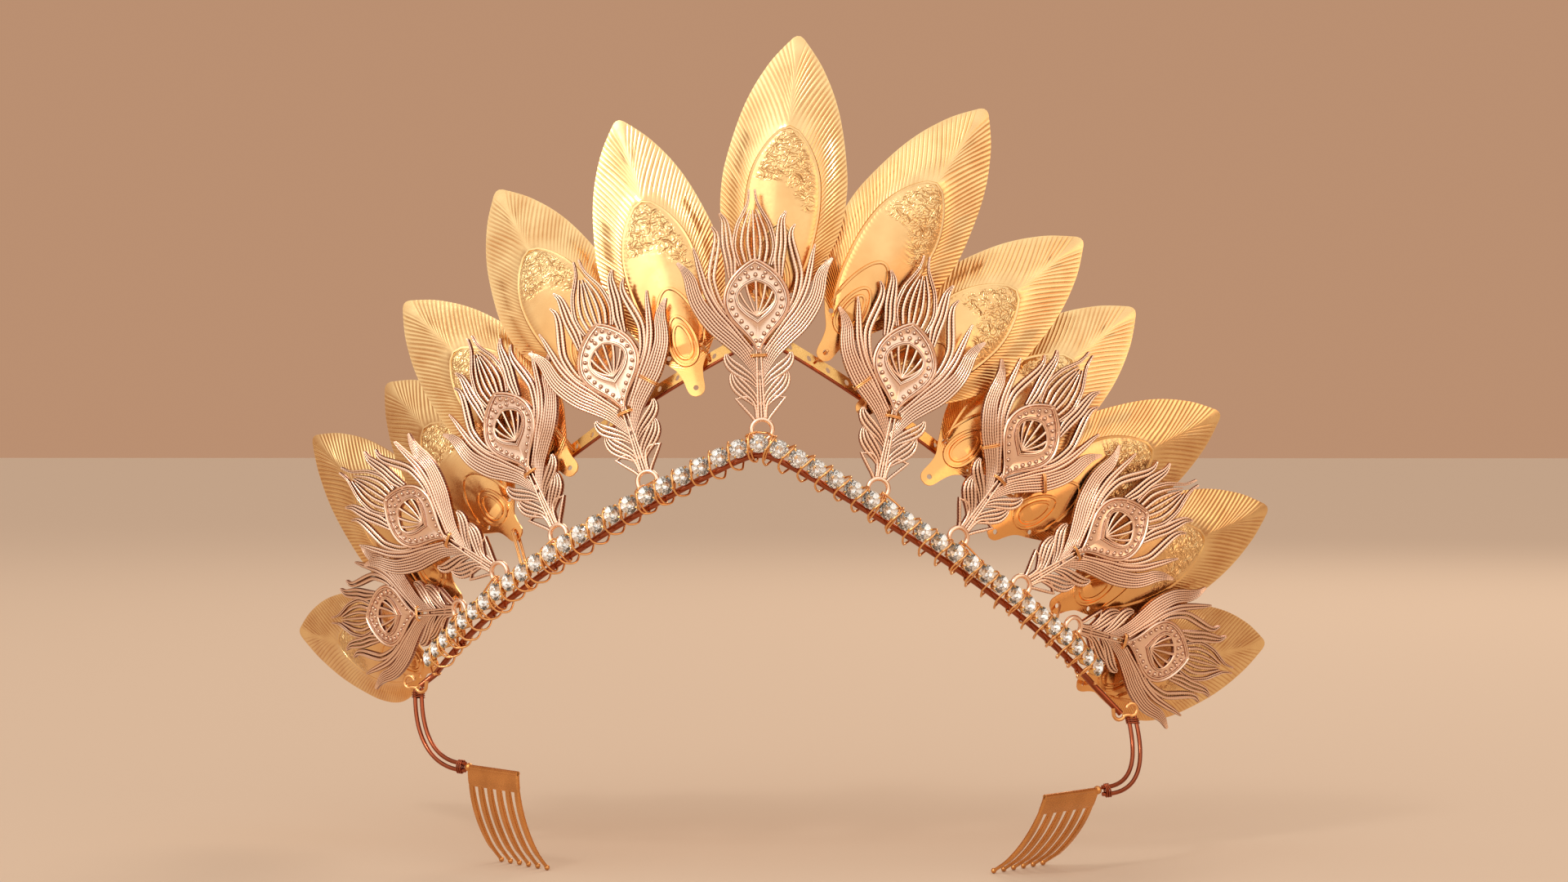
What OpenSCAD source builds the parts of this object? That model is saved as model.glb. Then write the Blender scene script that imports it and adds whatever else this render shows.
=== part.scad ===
// Peacock feather crown: a peaked band of crystals in claw cups that carries cast feathers,
// backed by stamped leaves on a curved strip, and standing on two hair combs.
// Lengths are in millimetres, angles in degrees. X runs to the right, Y to the back, Z up.
// Inside placed(), the origin lies on the comb tips' level, straight below the apex stone.

/* [Band] */
// Radius of the curve on which the stones sit, seen from above
hoop_r = 85; // [80:1:90]
// Height of the apex stone's centre above the comb tips
apex_z = 86.9; // [84:0.1:90]
// Fall of the band per millimetre of plan length, left half
left_fall = 0.5; // [0.45:0.01:0.56]
// Fall of the band per millimetre of plan length, right half
right_fall = 0.56; // [0.5:0.01:0.6]
// Spacing of the stones along the chain
stone_pitch = 4.1; // [4.1:0.05:4.2]
// Stones on the left half, without the apex stone
stones_left = 23; // [18:1:23]
// Stones on the right half, without the apex stone
stones_right = 22; // [18:1:22]
// Outer diameter of one claw cup
cup_d = 3.9; // [3.6:0.05:3.9]
// Girdle diameter of one stone
stone_d = 3.1; // [2.9:0.05:3.1]
// Diameter of the frame wire that carries the chain
band_wire_d = 1.3; // [1:0.1:1.3]

/* [Feathers] */
// Thickness of a cast feather over its raised ridges
feather_t = 1.3; // [1.1:0.1:1.3]
// Thickness of the pierced ground between the ridges
ground_t = 0.9; // [0.7:0.1:1]
// Outer diameter of the ring at a feather's foot
ring_d = 5.1; // [4.8:0.1:5.2]
// Hole in that ring
ring_hole_d = 3.2; // [3.1:0.1:3.3]

/* [Leaves] */
// Thickness of the stamped sheet
leaf_t = 0.4; // [0.3:0.05:0.45]
// Angle by which each half of a leaf is bent back from its midrib
leaf_fold = 9; // [5:1:10]
// Height by which the inner panel is pressed forward
panel_rise = 0.4; // [0.2:0.05:0.45]
// Hole in a leaf's tab
tab_hole_d = 1.1; // [0.8:0.1:1.3]

/* [Support strip] */
// Height of the strip's centre line above the stones
strip_lift = 21.5; // [20:0.5:23]
// Width of the strip
strip_w = 2.4; // [1.8:0.1:2.6]
// Thickness of the strip
strip_t = 0.5; // [0.4:0.1:0.6]
// Hoop angle at which the strip ends on each side
strip_end = 34; // [28:1:34]

/* [Combs and wires] */
// Width of a comb along its row of tines
comb_w = 17.5; // [16:0.5:18]
// Number of tines on a comb
comb_tines = 6; // [5:1:7]
// Radius to which a comb is curved
comb_bend_r = 31; // [29:1:33]
// Thickness of a comb's sheet
comb_t = 0.9; // [0.7:0.1:1]
// Length of the plain plate above the tines
comb_plate = 4.2; // [3.5:0.1:5]
// Width of one tine
tine_w = 1.3; // [1.1:0.1:1.4]
// Diameter of the wires between the band's ends and the combs
end_wire_d = 1.1; // [0.9:0.1:1.1]
// Diameter of the soft wire in hooks
hook_wire_d = 0.8; // [0.6:0.1:0.8]

/* [Hidden] */
$fn = 40;
gilt = "#E8C067";
pale_gilt = "#F2D488";
rose_gilt = "#D9A077";
copper = "#A85A3A";
crystal = "#E9EEF5";

// Shift that brings the middle of the crown's outline over the origin
crown_shift = [1.18, -45.78, 0];

// Turns an arc length on the hoop into its angle
function arc_angle(arc) = arc / hoop_r * 180 / PI;
function angle_arc(angle) = angle * PI / 180 * hoop_r;
function norm_of(v) = v / norm(v);

// The band's side view: a peak rounded by this length, then a slope that steepens slowly
peak_round = 2.8;
steepening = 0.0007;
function fall_rate(arc) = arc < 0 ? left_fall : right_fall;
function band_z(arc) = apex_z
    - fall_rate(arc) * (sqrt(arc * arc + peak_round * peak_round) - peak_round)
    - steepening * arc * arc;
function band_angle(arc) = atan(
    fall_rate(arc) * abs(arc) / sqrt(arc * arc + peak_round * peak_round) + 2 * steepening * abs(arc));

// Arc lengths of the stones on one half: each step is one pitch, measured along the slope
function stone_arcs(count, side, arc = 0) =
    let (halfway = arc + stone_pitch / 2, step = stone_pitch * cos(band_angle(side * halfway)))
    count == 0 ? [] : concat([side * (arc + step)], stone_arcs(count - 1, side, arc + step));
STONE_ARCS = concat(stone_arcs(stones_left, -1), [0], stone_arcs(stones_right, 1));
left_end = STONE_ARCS[stones_left - 1];
right_end = STONE_ARCS[len(STONE_ARCS) - 1];

// Depths measured from the hoop's axis, front to back: cups, feathers and frame wire, leaves, strip
cup_back_r = 84.65;
feather_r = 83.2;
leaf_r = 80.6;
strip_r = 76.3;
// The frame wire runs this far below the stones' centres
band_wire_drop = 2.2;

function hoop_point(arc, r, lift) =
    [r * sin(arc_angle(arc)), hoop_r - r * cos(arc_angle(arc)), band_z(arc) + lift];

// Where each feather's ring sits: hoop angle, height of the ring above the stones' centres,
// lean to the right, tilt to the back, turn about its own stem
NAME = 0;
ANGLE = 1;
HEIGHT = 2;
LEAN = 3;
TILT = 4;
TURN = 5;
FEATHERS = [
    // name, angle, height, lean, tilt, turn
    ["feather_centre", 0.3, 2.7, -2.5, 2, 8],
    ["feather_left_1", -15.6, 3.1, -21, 5, 3],
    ["feather_left_2", -29.5, 3.5, -32, 4, 2],
    ["feather_left_3", -40.6, 5, -64, -9, 1.5],
    ["feather_left_4", -50, 5, -95, -4.5, -4],
    ["feather_right_1", 16.2, 3.4, 13, 2.5, -1],
    ["feather_right_2", 28, 4.2, 39, -2, 2],
    ["feather_right_3", 38.5, 4, 64, -8.5, -3.5],
    ["feather_right_4", 49, 5.2, 103.5, -9, 10.5]
];
// Where each leaf's tab end sits, with the height measured from the comb tips
LEAVES = [
    // name, angle, height, lean, tilt, turn
    ["leaf_centre", 1.2, 107.4, 5.5, 4.5, -0.5],
    ["leaf_left_1", -8.8, 96.4, -19.5, 12.5, 8.5],
    ["leaf_left_2", -22.5, 96, -40, 19, 19],
    ["leaf_left_3", -28, 81, -54, 7.5, 16],
    ["leaf_left_4", -38.5, 67.7, -58, 9, 16.5],
    ["leaf_left_5", -53.1, 53.2, -54.5, -9.5, 11.5],
    ["leaf_left_6", -61.2, 39.6, -86, -11, -13.5],
    ["leaf_right_1", 8.5, 103.5, 34, 5.5, 2.5],
    ["leaf_right_2", 13.8, 93, 54, 8.5, -8.5],
    ["leaf_right_3", 23.5, 79.3, 54.5, 4.5, -15.5],
    ["leaf_right_4", 34.2, 68.4, 66, -5, 1],
    ["leaf_right_5", 46.3, 53.1, 70.5, -11.5, -3],
    ["leaf_right_6", 52.7, 37, 84.5, -8, 9]
];

module placed() translate(crown_shift) children();

// Sets a plate that is drawn upright, facing the front, at a hoop angle and height
module plate_at(row, r, z)
    placed() translate([r * sin(row[ANGLE]), hoop_r - r * cos(row[ANGLE]), z])
        rotate([0, 0, row[ANGLE]]) rotate([0, row[LEAN], 0])
            rotate([-row[TILT], 0, 0]) rotate([0, 0, row[TURN]]) children();

// Sets a piece with its own z axis pointing straight out of the hoop, in line with the chain
module out_of_band(arc, r)
    placed() translate(hoop_point(arc, r, 0)) rotate([0, 0, arc_angle(arc)])
        rotate([90, 0, 0]) rotate([0, 0, arc < 0 ? band_angle(arc) : -band_angle(arc)]) children();

// Sweeps a section, given as [outward, upward] points, along a path.
// The reference direction says which way is up for the section.
function path_tangent(path, i) = norm_of(path[min(i + 1, len(path) - 1)] - path[max(i - 1, 0)]);
function swept_ring(path, i, section, reference) =
    let (along = path_tangent(path, i), out = norm_of(cross(along, reference)), up = cross(out, along))
    [for (s = section) path[i] + out * s[0] + up * s[1]];
module sweep(path, section, reference) {
    n = len(section);
    last = (len(path) - 1) * n;
    points = [for (i = [0:len(path) - 1]) each swept_ring(path, i, section, reference)];
    sides = [for (i = [0:len(path) - 2], k = [0:n - 1]) let (a = i * n + k, b = i * n + (k + 1) % n)
        each [[a, b, b + n], [a, b + n, a + n]]];
    caps = [[for (k = [n - 1:-1:0]) k], [for (k = [0:n - 1]) last + k]];
    polyhedron(points, concat(sides, caps));
}
function round_section(d, sides) = [for (k = [0:sides - 1]) d / 2 * [cos(360 * k / sides), sin(360 * k / sides)]];

function bezier(p, u) = pow(1 - u, 3) * p[0] + 3 * u * pow(1 - u, 2) * p[1]
    + 3 * u * u * (1 - u) * p[2] + pow(u, 3) * p[3];
function bezier_tangent(p, u) = norm_of(pow(1 - u, 2) * (p[1] - p[0]) + 2 * u * (1 - u) * (p[2] - p[1])
    + u * u * (p[3] - p[2]));

// Where the frame wire leaves the chain at each end and reaches its hook
LEFT_HOOK = [-73.2, 39, 36];
RIGHT_HOOK = [73, 36.8, 31];
// Arc steps between the rings of the frame wire and of the strip
wire_step = 3.2;
strip_step = 5;

module band_wire() color(copper) {
    first = left_end - stone_pitch / 2;
    count = round((right_end - left_end + stone_pitch) / wire_step);
    chain_part = [for (i = [0:count]) let (arc = first + i * (right_end - left_end + stone_pitch) / count)
        hoop_point(arc, feather_r, -band_wire_drop)];
    placed() sweep(concat([LEFT_HOOK], chain_part, [RIGHT_HOOK]), round_section(band_wire_d, 8), [0, 0, 1]);
}

// One claw cup: a round box, open to the front, with four claws at its rim
cup_depth = 1.75;
cup_wall = 0.28;
cup_floor = 0.4;
claw_d = 0.4;
claw_rise = 0.35;
claw_r = 1.82;
module cup() {
    difference() {
        cylinder(d = cup_d, h = cup_depth);
        translate([0, 0, cup_floor]) cylinder(d = cup_d - 2 * cup_wall, h = cup_depth);
    }
    for (corner = [45:90:315]) rotate([0, 0, corner]) translate([claw_r, 0, cup_floor])
        cylinder(d = claw_d, h = cup_depth - cup_floor + claw_rise);
}
module cup_chain() color(gilt) for (arc = STONE_ARCS) out_of_band(arc, cup_back_r) cup();

// One stone: flat table, eight crown facets, thin girdle and eight facets down to a point
facets = 8;
table_d = 1.8;
girdle_z = 0.9;
girdle_t = 0.12;
stone_depth = 1.5;
stone_seat = 0.12;
function facet_ring(d, z) = [for (k = [0:facets - 1]) [d / 2 * cos(360 * k / facets), d / 2 * sin(360 * k / facets), z]];
module stone() {
    points = concat([[0, 0, 0]], facet_ring(stone_d, girdle_z), facet_ring(stone_d, girdle_z + girdle_t),
        facet_ring(table_d, stone_depth));
    function next(k) = (k + 1) % facets;
    point_facets = [for (k = [0:facets - 1]) [0, 1 + k, 1 + next(k)]];
    walls = [for (level = [0, 1], k = [0:facets - 1])
        let (a = 1 + level * facets + k, b = 1 + level * facets + next(k)) [a, a + facets, b + facets, b]];
    table = [[for (k = [facets - 1:-1:0]) 1 + 2 * facets + k]];
    polyhedron(points, concat(point_facets, walls, table));
}
module chain_stones() color(crystal)
    for (arc = STONE_ARCS) out_of_band(arc, cup_back_r + cup_floor + stone_seat) stone();

module support_strip() color(pale_gilt) {
    end_arc = angle_arc(strip_end);
    count = round(2 * end_arc / strip_step);
    path = [for (i = [0:count]) hoop_point(-end_arc + 2 * end_arc * i / count, strip_r, strip_lift)];
    w = strip_w / 2;
    t = strip_t / 2;
    placed() sweep(path, [[t, -w], [t, w], [-t, w], [-t, -w]], [0, 0, 1]);
}

// One closed wire loop per feather, through the ring and round the frame wire
tie_wire_d = 0.4;
tie_inner_w = 1.9;
tie_slack = 0.08;
tie_top_lift = 0.35;
module tie_loop(low, high) {
    r = (tie_inner_w + tie_wire_d) / 2;
    module half_ring() rotate([90, 0, 90]) rotate_extrude(angle = 180) translate([r, 0]) circle(d = tie_wire_d);
    translate([0, 0, high]) half_ring();
    translate([0, 0, low]) rotate([180, 0, 0]) half_ring();
    for (side = [-1, 1]) translate([0, side * r, low]) cylinder(d = tie_wire_d, h = high - low);
}
ring_bar_r = (ring_d + ring_hole_d) / 4;
// How far the lowest point of a leaning ring lies behind the ring's centre
function ring_bar_depth(row) = ring_bar_r
    * (sin(row[LEAN]) * sin(row[TURN]) - cos(row[LEAN]) * sin(row[TILT]));
module ring_ties() color(gilt) for (row = FEATHERS)
    placed() translate(hoop_point(angle_arc(row[ANGLE]), feather_r - ring_bar_depth(row) / 2, 0))
        rotate([0, 0, row[ANGLE]])
            tie_loop(-band_wire_drop - tie_slack, row[HEIGHT] - ring_bar_r + tie_top_lift);

// A feather is drawn flat, with its ring's centre at the origin and its stem along y.
// Fronds of the right half, each a curved band: four control points of its centre line,
// then its half width at the root, at the middle and at the tip. The left half mirrors them.
FRONDS = [
    // root, first pull, second pull, tip, [root, middle, tip half widths]
    [[0.3, 10.5], [12.8, 20], [10.6, 30.5], [15.4, 34], [0.9, 3, 0.25]],
    [[0.6, 15.5], [8.5, 23], [10.5, 30], [11.8, 36.5], [0.6, 0.9, 0.25]],
    [[0.3, 16], [6.6, 22], [9.8, 33.5], [7.8, 40.5], [0.8, 1.3, 0.25]],
    [[5, 28], [8.4, 33], [4.3, 38.5], [6.1, 43], [0.8, 1.2, 0.3]],
    [[3.4, 31], [5, 37], [1, 42], [0.2, 47.8], [0.9, 0.6, 0.25]]
];
// Lobes below the fronds, short and blunt
LOBES = [
    [[0.2, 9.5], [2.5, 12.2], [5, 12.2], [6.8, 15], [0.6, 1.7, 0.3]],
    [[0.2, 6], [2.5, 8.2], [4.6, 8.2], [6, 10.4], [0.6, 1.6, 0.4]],
    [[0.2, 2.6], [1.5, 4.6], [3.2, 4.4], [4.9, 6.3], [0.6, 1.1, 0.25]]
];
// The eye: a pointed drop, given by the control points of its lower and upper right edge
EYE_LOWER = [[0, 15.5], [1.2, 19.5], [6.4, 21], [6.4, 25.8]];
EYE_UPPER = [[6.4, 25.8], [6.4, 29.8], [2.6, 32.8], [0, 33.8]];
// The almond-shaped window in the eye
WINDOW_LOWER = [[0, 21.8], [0.8, 22.6], [3.5, 24], [3.5, 26.2]];
WINDOW_UPPER = [[3.5, 26.2], [3.5, 27.6], [1.4, 29], [0, 29.2]];
rim_w = 0.8;
stem_w = 1.3;
stem_top = 17;
// Ribs that fan out across the window, by their angle from the stem
FAN_ANGLES = [-34, 0, 34];
fan_rib_w = 0.7;
fan_root = 21.5;
fan_length = 8.5;
// The flame's middle ridge stands on the eye
flame_w = 1.2;
flame_root = 33;
flame_top = 47.8;
bend_steps = 9;

function frond_edge(frond, side) = [for (i = [0:bend_steps]) let (
        u = i / bend_steps,
        w = frond[4],
        half = pow(1 - u, 2) * w[0] + 2 * u * (1 - u) * w[1] + u * u * w[2],
        along = bezier_tangent(frond, u))
    bezier(frond, u) + side * half * [-along[1], along[0]]];
function reversed(list) = [for (i = [len(list) - 1:-1:0]) list[i]];
function slimmed(frond, share) = [frond[0], frond[1], frond[2], frond[3], frond[4] * share];
module frond_shape(frond) polygon(concat(frond_edge(frond, 1), reversed(frond_edge(frond, -1))));
module both_halves(fronds) for (frond = fronds) {
    frond_shape(frond);
    mirror([1, 0]) frond_shape(frond);
}

// A pointed drop from its two right-hand curves, shrunk about its middle height
function drop_half(lower, upper) = concat(
    [for (i = [0:bend_steps - 1]) bezier(lower, i / bend_steps)],
    [for (i = [0:bend_steps]) bezier(upper, i / bend_steps)]);
module drop_shape(lower, upper, inset) {
    middle = [0, lower[3][1]];
    half = [for (p = drop_half(lower, upper)) middle + (p - middle) * (1 - inset / lower[3][0])];
    left = [for (i = [len(half) - 2:-1:1]) [-half[i][0], half[i][1]]];
    polygon(concat(half, left));
}

module feather_ground() {
    difference() {
        union() {
            circle(d = ring_d);
            translate([-stem_w / 2, ring_d / 2 - rim_w / 2]) square([stem_w, stem_top - ring_d / 2]);
            both_halves(LOBES);
            both_halves(FRONDS);
            drop_shape(EYE_LOWER, EYE_UPPER, 0);
            translate([-flame_w / 2, flame_root]) square([flame_w, flame_top - flame_root]);
        }
        circle(d = ring_hole_d);
        difference() {
            drop_shape(WINDOW_LOWER, WINDOW_UPPER, 0);
            for (angle = FAN_ANGLES) translate([0, fan_root]) rotate(-angle)
                translate([-fan_rib_w / 2, 0]) square([fan_rib_w, fan_length]);
        }
    }
}
module feather_ridges() {
    difference() {
        drop_shape(EYE_LOWER, EYE_UPPER, rim_w / 4);
        drop_shape(EYE_LOWER, EYE_UPPER, rim_w);
    }
    difference() {
        drop_shape(WINDOW_LOWER, WINDOW_UPPER, -rim_w);
        drop_shape(WINDOW_LOWER, WINDOW_UPPER, -rim_w / 4);
    }
    both_halves([for (frond = [FRONDS[0], LOBES[0], LOBES[1]]) slimmed(frond, 0.45)]);
}
module feather(row) plate_at(row, feather_r, band_z(angle_arc(row[ANGLE])) + row[HEIGHT])
    color(rose_gilt) rotate([90, 0, 0]) translate([0, 0, -feather_t / 2]) {
        linear_extrude(ground_t) feather_ground();
        translate([0, 0, ground_t / 2]) linear_extrude(feather_t - ground_t / 2) feather_ridges();
    }

// Cross-sections of a leaf from its tab end to its tip
LEAF_SECTIONS = [
    // height, half width, half width of the raised panel, share of the panel's rise
    [0, 0.9, 0.2, 0],
    [1.2, 1.7, 0.5, 0],
    [3.5, 2, 0.8, 0],
    [6, 2.7, 1.2, 0],
    [8.5, 4.5, 2.4, 0],
    [10.5, 5.9, 3.6, 1],
    [13.5, 7.9, 4.8, 1],
    [17, 9.6, 5.8, 1],
    [20.5, 11.1, 6.4, 1],
    [25, 12.2, 6.9, 1],
    [29, 12.5, 6.9, 1],
    [33, 12.4, 6.4, 1],
    [37, 11.8, 5, 1],
    [40, 11.2, 3.2, 1],
    [42, 10.8, 1.2, 1],
    [43, 10.5, 1, 0],
    [47, 9.3, 1, 0],
    [50, 8.1, 1, 0],
    [53, 6.6, 1, 0],
    [56, 4.8, 1, 0],
    [58.5, 2.9, 0.8, 0],
    [60.2, 1.4, 0.5, 0],
    [61, 0.7, 0.1, 0]
];
panel_edge = 0.5;
midrib_round = 1.5;
tab_hole_z = 1.6;
// Across one section: the edge, the foot and the crest of the panel's border, and the midrib
function section_x(s) = [-s[1], -s[2] - panel_edge, -s[2], 0, s[2], s[2] + panel_edge, s[1]];
function bent_back(x) = tan(leaf_fold) * (sqrt(x * x + midrib_round * midrib_round) - midrib_round);
function leaf_row(s, back) = [for (x = section_x(s))
    [x, bent_back(x) - (abs(x) <= s[2] ? s[3] * panel_rise : 0) + back, s[0]]];
module leaf_sheet() {
    n = len(section_x(LEAF_SECTIONS[0]));
    m = len(LEAF_SECTIONS);
    points = concat([for (s = LEAF_SECTIONS) each leaf_row(s, 0)], [for (s = LEAF_SECTIONS) each leaf_row(s, leaf_t)]);
    function front(i, j) = i * n + j;
    function rear(i, j) = (m + i) * n + j;
    faces = [for (i = [0:m - 2], j = [0:n - 2]) each [
        [front(i, j), front(i + 1, j), front(i + 1, j + 1)], [front(i, j), front(i + 1, j + 1), front(i, j + 1)],
        [rear(i, j), rear(i + 1, j + 1), rear(i + 1, j)], [rear(i, j), rear(i, j + 1), rear(i + 1, j + 1)]]];
    left_edge = [for (i = [0:m - 2]) each [
        [front(i, 0), rear(i, 0), rear(i + 1, 0)], [front(i, 0), rear(i + 1, 0), front(i + 1, 0)]]];
    right_edge = [for (i = [0:m - 2]) each [
        [front(i, n - 1), rear(i + 1, n - 1), rear(i, n - 1)],
        [front(i, n - 1), front(i + 1, n - 1), rear(i + 1, n - 1)]]];
    tab_end = [for (j = [0:n - 2]) each [
        [front(0, j), front(0, j + 1), rear(0, j + 1)], [front(0, j), rear(0, j + 1), rear(0, j)]]];
    tip_end = [for (j = [0:n - 2]) each [
        [front(m - 1, j), rear(m - 1, j + 1), front(m - 1, j + 1)],
        [front(m - 1, j), rear(m - 1, j), rear(m - 1, j + 1)]]];
    polyhedron(points, concat(faces, left_edge, right_edge, tab_end, tip_end));
}
module leaf(row) plate_at(row, leaf_r, row[HEIGHT]) color(pale_gilt) difference() {
    leaf_sheet();
    translate([0, 2 * leaf_t, tab_hole_z]) rotate([90, 0, 0]) cylinder(d = tab_hole_d, h = 4 * leaf_t);
}

// A hook is one bent wire: an eye of three quarters of a turn that runs on into an open U
hook_step = 25;
eye_r = 1.25;
bow_r = 1.3;
function circle_run(centre, r, from, to) = [for (angle = [from:hook_step:to])
    [centre[0] + r * cos(angle), 0, centre[1] + r * sin(angle)]];
HOOK_PATH = concat(
    circle_run([-1.7, 0.9], eye_r, 20, 300),
    circle_run([1.2, 0.2], bow_r, 200, 350),
    [[2.6, 0, 1.3]]);
hook_forward = 1.5;
hook_turn = 25;
module hook() color(gilt) translate([0, -hook_forward, 0])
    sweep(HOOK_PATH, round_section(hook_wire_d, 6), [0, 1, 0]);
module hook_left() placed() translate(LEFT_HOOK) rotate([0, 0, -hook_turn]) hook();
module hook_right() placed() translate(RIGHT_HOOK) rotate([0, 0, hook_turn]) mirror([1, 0, 0]) hook();

// Each end wire is one cubic curve, from below the hook to the comb's outer top corner
LEFT_WIRES = [
    [[-74.3, 39.6, 34.3], [-74.6, 38.2, 26.5], [-71, 36, 18.9], [-62.3, 29.4, 19.4]],
    [[-72.7, 39, 34.3], [-72.9, 37.8, 27], [-70.2, 35.6, 20.4], [-62.2, 29.3, 20.8]]
];
RIGHT_WIRES = [
    [[75.8, 37.6, 29.5], [78, 35.8, 22.5], [77.4, 30.5, 15], [68.6, 25.7, 15.6]],
    [[74.2, 37.1, 29.5], [76.2, 35.5, 23], [75.8, 30.4, 16.6], [68.5, 25.6, 17]]
];
end_wire_steps = 14;
module end_wires(curves) placed() color(copper) for (curve = curves)
    sweep([for (i = [0:end_wire_steps]) bezier(curve, i / end_wire_steps)],
        round_section(end_wire_d, 8), [0, 1, 0]);
module end_wires_left() end_wires(LEFT_WIRES);
module end_wires_right() end_wires(RIGHT_WIRES);

// A comb hangs from the middle of its top edge, curving to its own +y side on the way down
// Each row: middle of the top edge, turn in plan, lean of the tips to the inside
LEFT_COMB = [[-55.5, 22.2, 20.6], -47.5, 0];
RIGHT_COMB = [[62, 18.3, 16.9], 50, 19];
tine_arc = 50;
knob_d = 1.8;
module curved_bar(x, w, arc) translate([0, comb_bend_r, 0]) rotate([-90, 0, 0]) rotate([0, 90, 0])
    rotate_extrude(angle = arc) translate([comb_bend_r - comb_t / 2, x]) square([comb_t, w]);
module comb(place, outer) color(gilt) difference() {
    placed() translate(place[0]) rotate([0, 0, place[1]]) rotate([place[2], 0, 0]) {
        curved_bar(-comb_w / 2, comb_w, comb_plate / comb_bend_r * 180 / PI);
        for (i = [0:comb_tines - 1])
            curved_bar(-comb_w / 2 + i * (comb_w - tine_w) / (comb_tines - 1), tine_w, tine_arc);
        translate([outer * comb_w / 2, 0, -knob_d / 4]) sphere(d = knob_d);
    }
    // The tips are cut off level, so that they stand flat
    translate([-hoop_r, -hoop_r, -hoop_r]) cube([2 * hoop_r, 2 * hoop_r, hoop_r]);
}
module comb_left() comb(LEFT_COMB, -1);
module comb_right() comb(RIGHT_COMB, 1);

band_wire();
cup_chain();
chain_stones();
support_strip();
ring_ties();
for (row = FEATHERS) feather(row);
for (row = LEAVES) leaf(row);
hook_left();
hook_right();
end_wires_left();
end_wires_right();
comb_left();
comb_right();
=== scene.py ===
"""Peacock feather crown on hair combs: its looks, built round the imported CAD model.

Sizes below are in millimetres unless a comment says otherwise; meshes are written in metres.
X runs to the right, Y to the back, Z up, as in the CAD.
"""
import math

import bpy
import numpy as np
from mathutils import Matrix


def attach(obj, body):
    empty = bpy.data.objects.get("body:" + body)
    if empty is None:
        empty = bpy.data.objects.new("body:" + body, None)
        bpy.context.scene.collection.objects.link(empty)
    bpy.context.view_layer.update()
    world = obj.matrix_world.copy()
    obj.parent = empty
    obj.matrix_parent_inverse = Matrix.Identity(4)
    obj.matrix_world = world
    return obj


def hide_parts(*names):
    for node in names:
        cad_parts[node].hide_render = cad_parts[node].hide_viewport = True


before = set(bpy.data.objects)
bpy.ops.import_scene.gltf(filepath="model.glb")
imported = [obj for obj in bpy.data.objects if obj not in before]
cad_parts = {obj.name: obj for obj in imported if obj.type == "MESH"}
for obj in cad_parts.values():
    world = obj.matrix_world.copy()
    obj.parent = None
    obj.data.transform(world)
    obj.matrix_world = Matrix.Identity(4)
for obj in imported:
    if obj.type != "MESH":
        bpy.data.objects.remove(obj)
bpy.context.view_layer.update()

# ---- Camera ----
# Level with the crown's middle, 0.65 m from it and 0.60 m before the peak, and turned a little to the left.
# The distance is assumed, and the lens is the one that shows the crown at the photograph's size from there.
camera_data = bpy.data.cameras.new("camera")
camera_data.sensor_width = 36
camera_data.lens = 70.3
camera = bpy.data.objects.new("camera", camera_data)
camera.location = (0.0322, -0.645, 0.0874)
camera.rotation_euler = (math.radians(90), 0, math.radians(2.5))
bpy.context.scene.collection.objects.link(camera)
bpy.context.scene.camera = camera

# ---- Frame wire ----
# One soft round wire, 1.3 mm thick, lacquered copper. It runs behind and below the crystals from
# hook to hook, and everything else on the band is bound to it with thin wire.
MM = 0.001  # in metres
HOOP_R = 85.0
CROWN_SHIFT = np.array([1.18, -45.78, 0.0])  # from axes at the peak to the shared ones
APEX_Z, PEAK_ROUND, STEEPENING = 86.9, 2.8, 0.0007
LEFT_FALL, RIGHT_FALL = 0.5, 0.56
STONE_PITCH, STONES_LEFT, STONES_RIGHT = 4.1, 23, 22
FRAME_WIRE_D, FRAME_WIRE_R, FRAME_WIRE_DROP = 1.3, 83.2, 2.2
LEFT_HOOK = np.array([-73.2, 39.0, 36.0])
RIGHT_HOOK = np.array([73.0, 36.8, 31.0])


def unit(v):
    """Each row divided by its own length."""
    return v / np.linalg.norm(v, axis=-1, keepdims=True)


def band_height(arc):
    """Height of the stones' centres: a straight fall on each side of a rounded peak, and a slow steepening."""
    fall = np.where(arc < 0, LEFT_FALL, RIGHT_FALL)
    return APEX_Z - fall * (np.sqrt(arc * arc + PEAK_ROUND**2) - PEAK_ROUND) - STEEPENING * arc * arc


def band_slope(arc):
    """Derivative of band_height along the arc."""
    fall = np.where(arc < 0, LEFT_FALL, RIGHT_FALL)
    return -fall * arc / np.sqrt(arc * arc + PEAK_ROUND**2) - 2 * STEEPENING * arc


def on_hoop(arc, r, lift):
    """Point at this arc length along the hoop, at radius r from its axis, lifted above the stones' centres."""
    arc, r, lift = np.broadcast_arrays(np.asarray(arc, float), r, lift)
    turn = arc / HOOP_R
    return np.stack([r * np.sin(turn), HOOP_R - r * np.cos(turn), band_height(arc) + lift], -1)


def band_axes(arc):
    """Unit vectors along the band, across it upwards, and out of it, at this arc length."""
    turn, slope = np.asarray(arc) / HOOP_R, band_slope(np.asarray(arc, float))
    along = unit(np.stack([np.cos(turn), np.sin(turn), slope], -1))
    up = unit(np.stack([-slope * np.cos(turn), -slope * np.sin(turn), np.ones_like(turn)], -1))
    out = np.stack([np.sin(turn), -np.cos(turn), np.zeros_like(turn)], -1)
    return along, up, out


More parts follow.
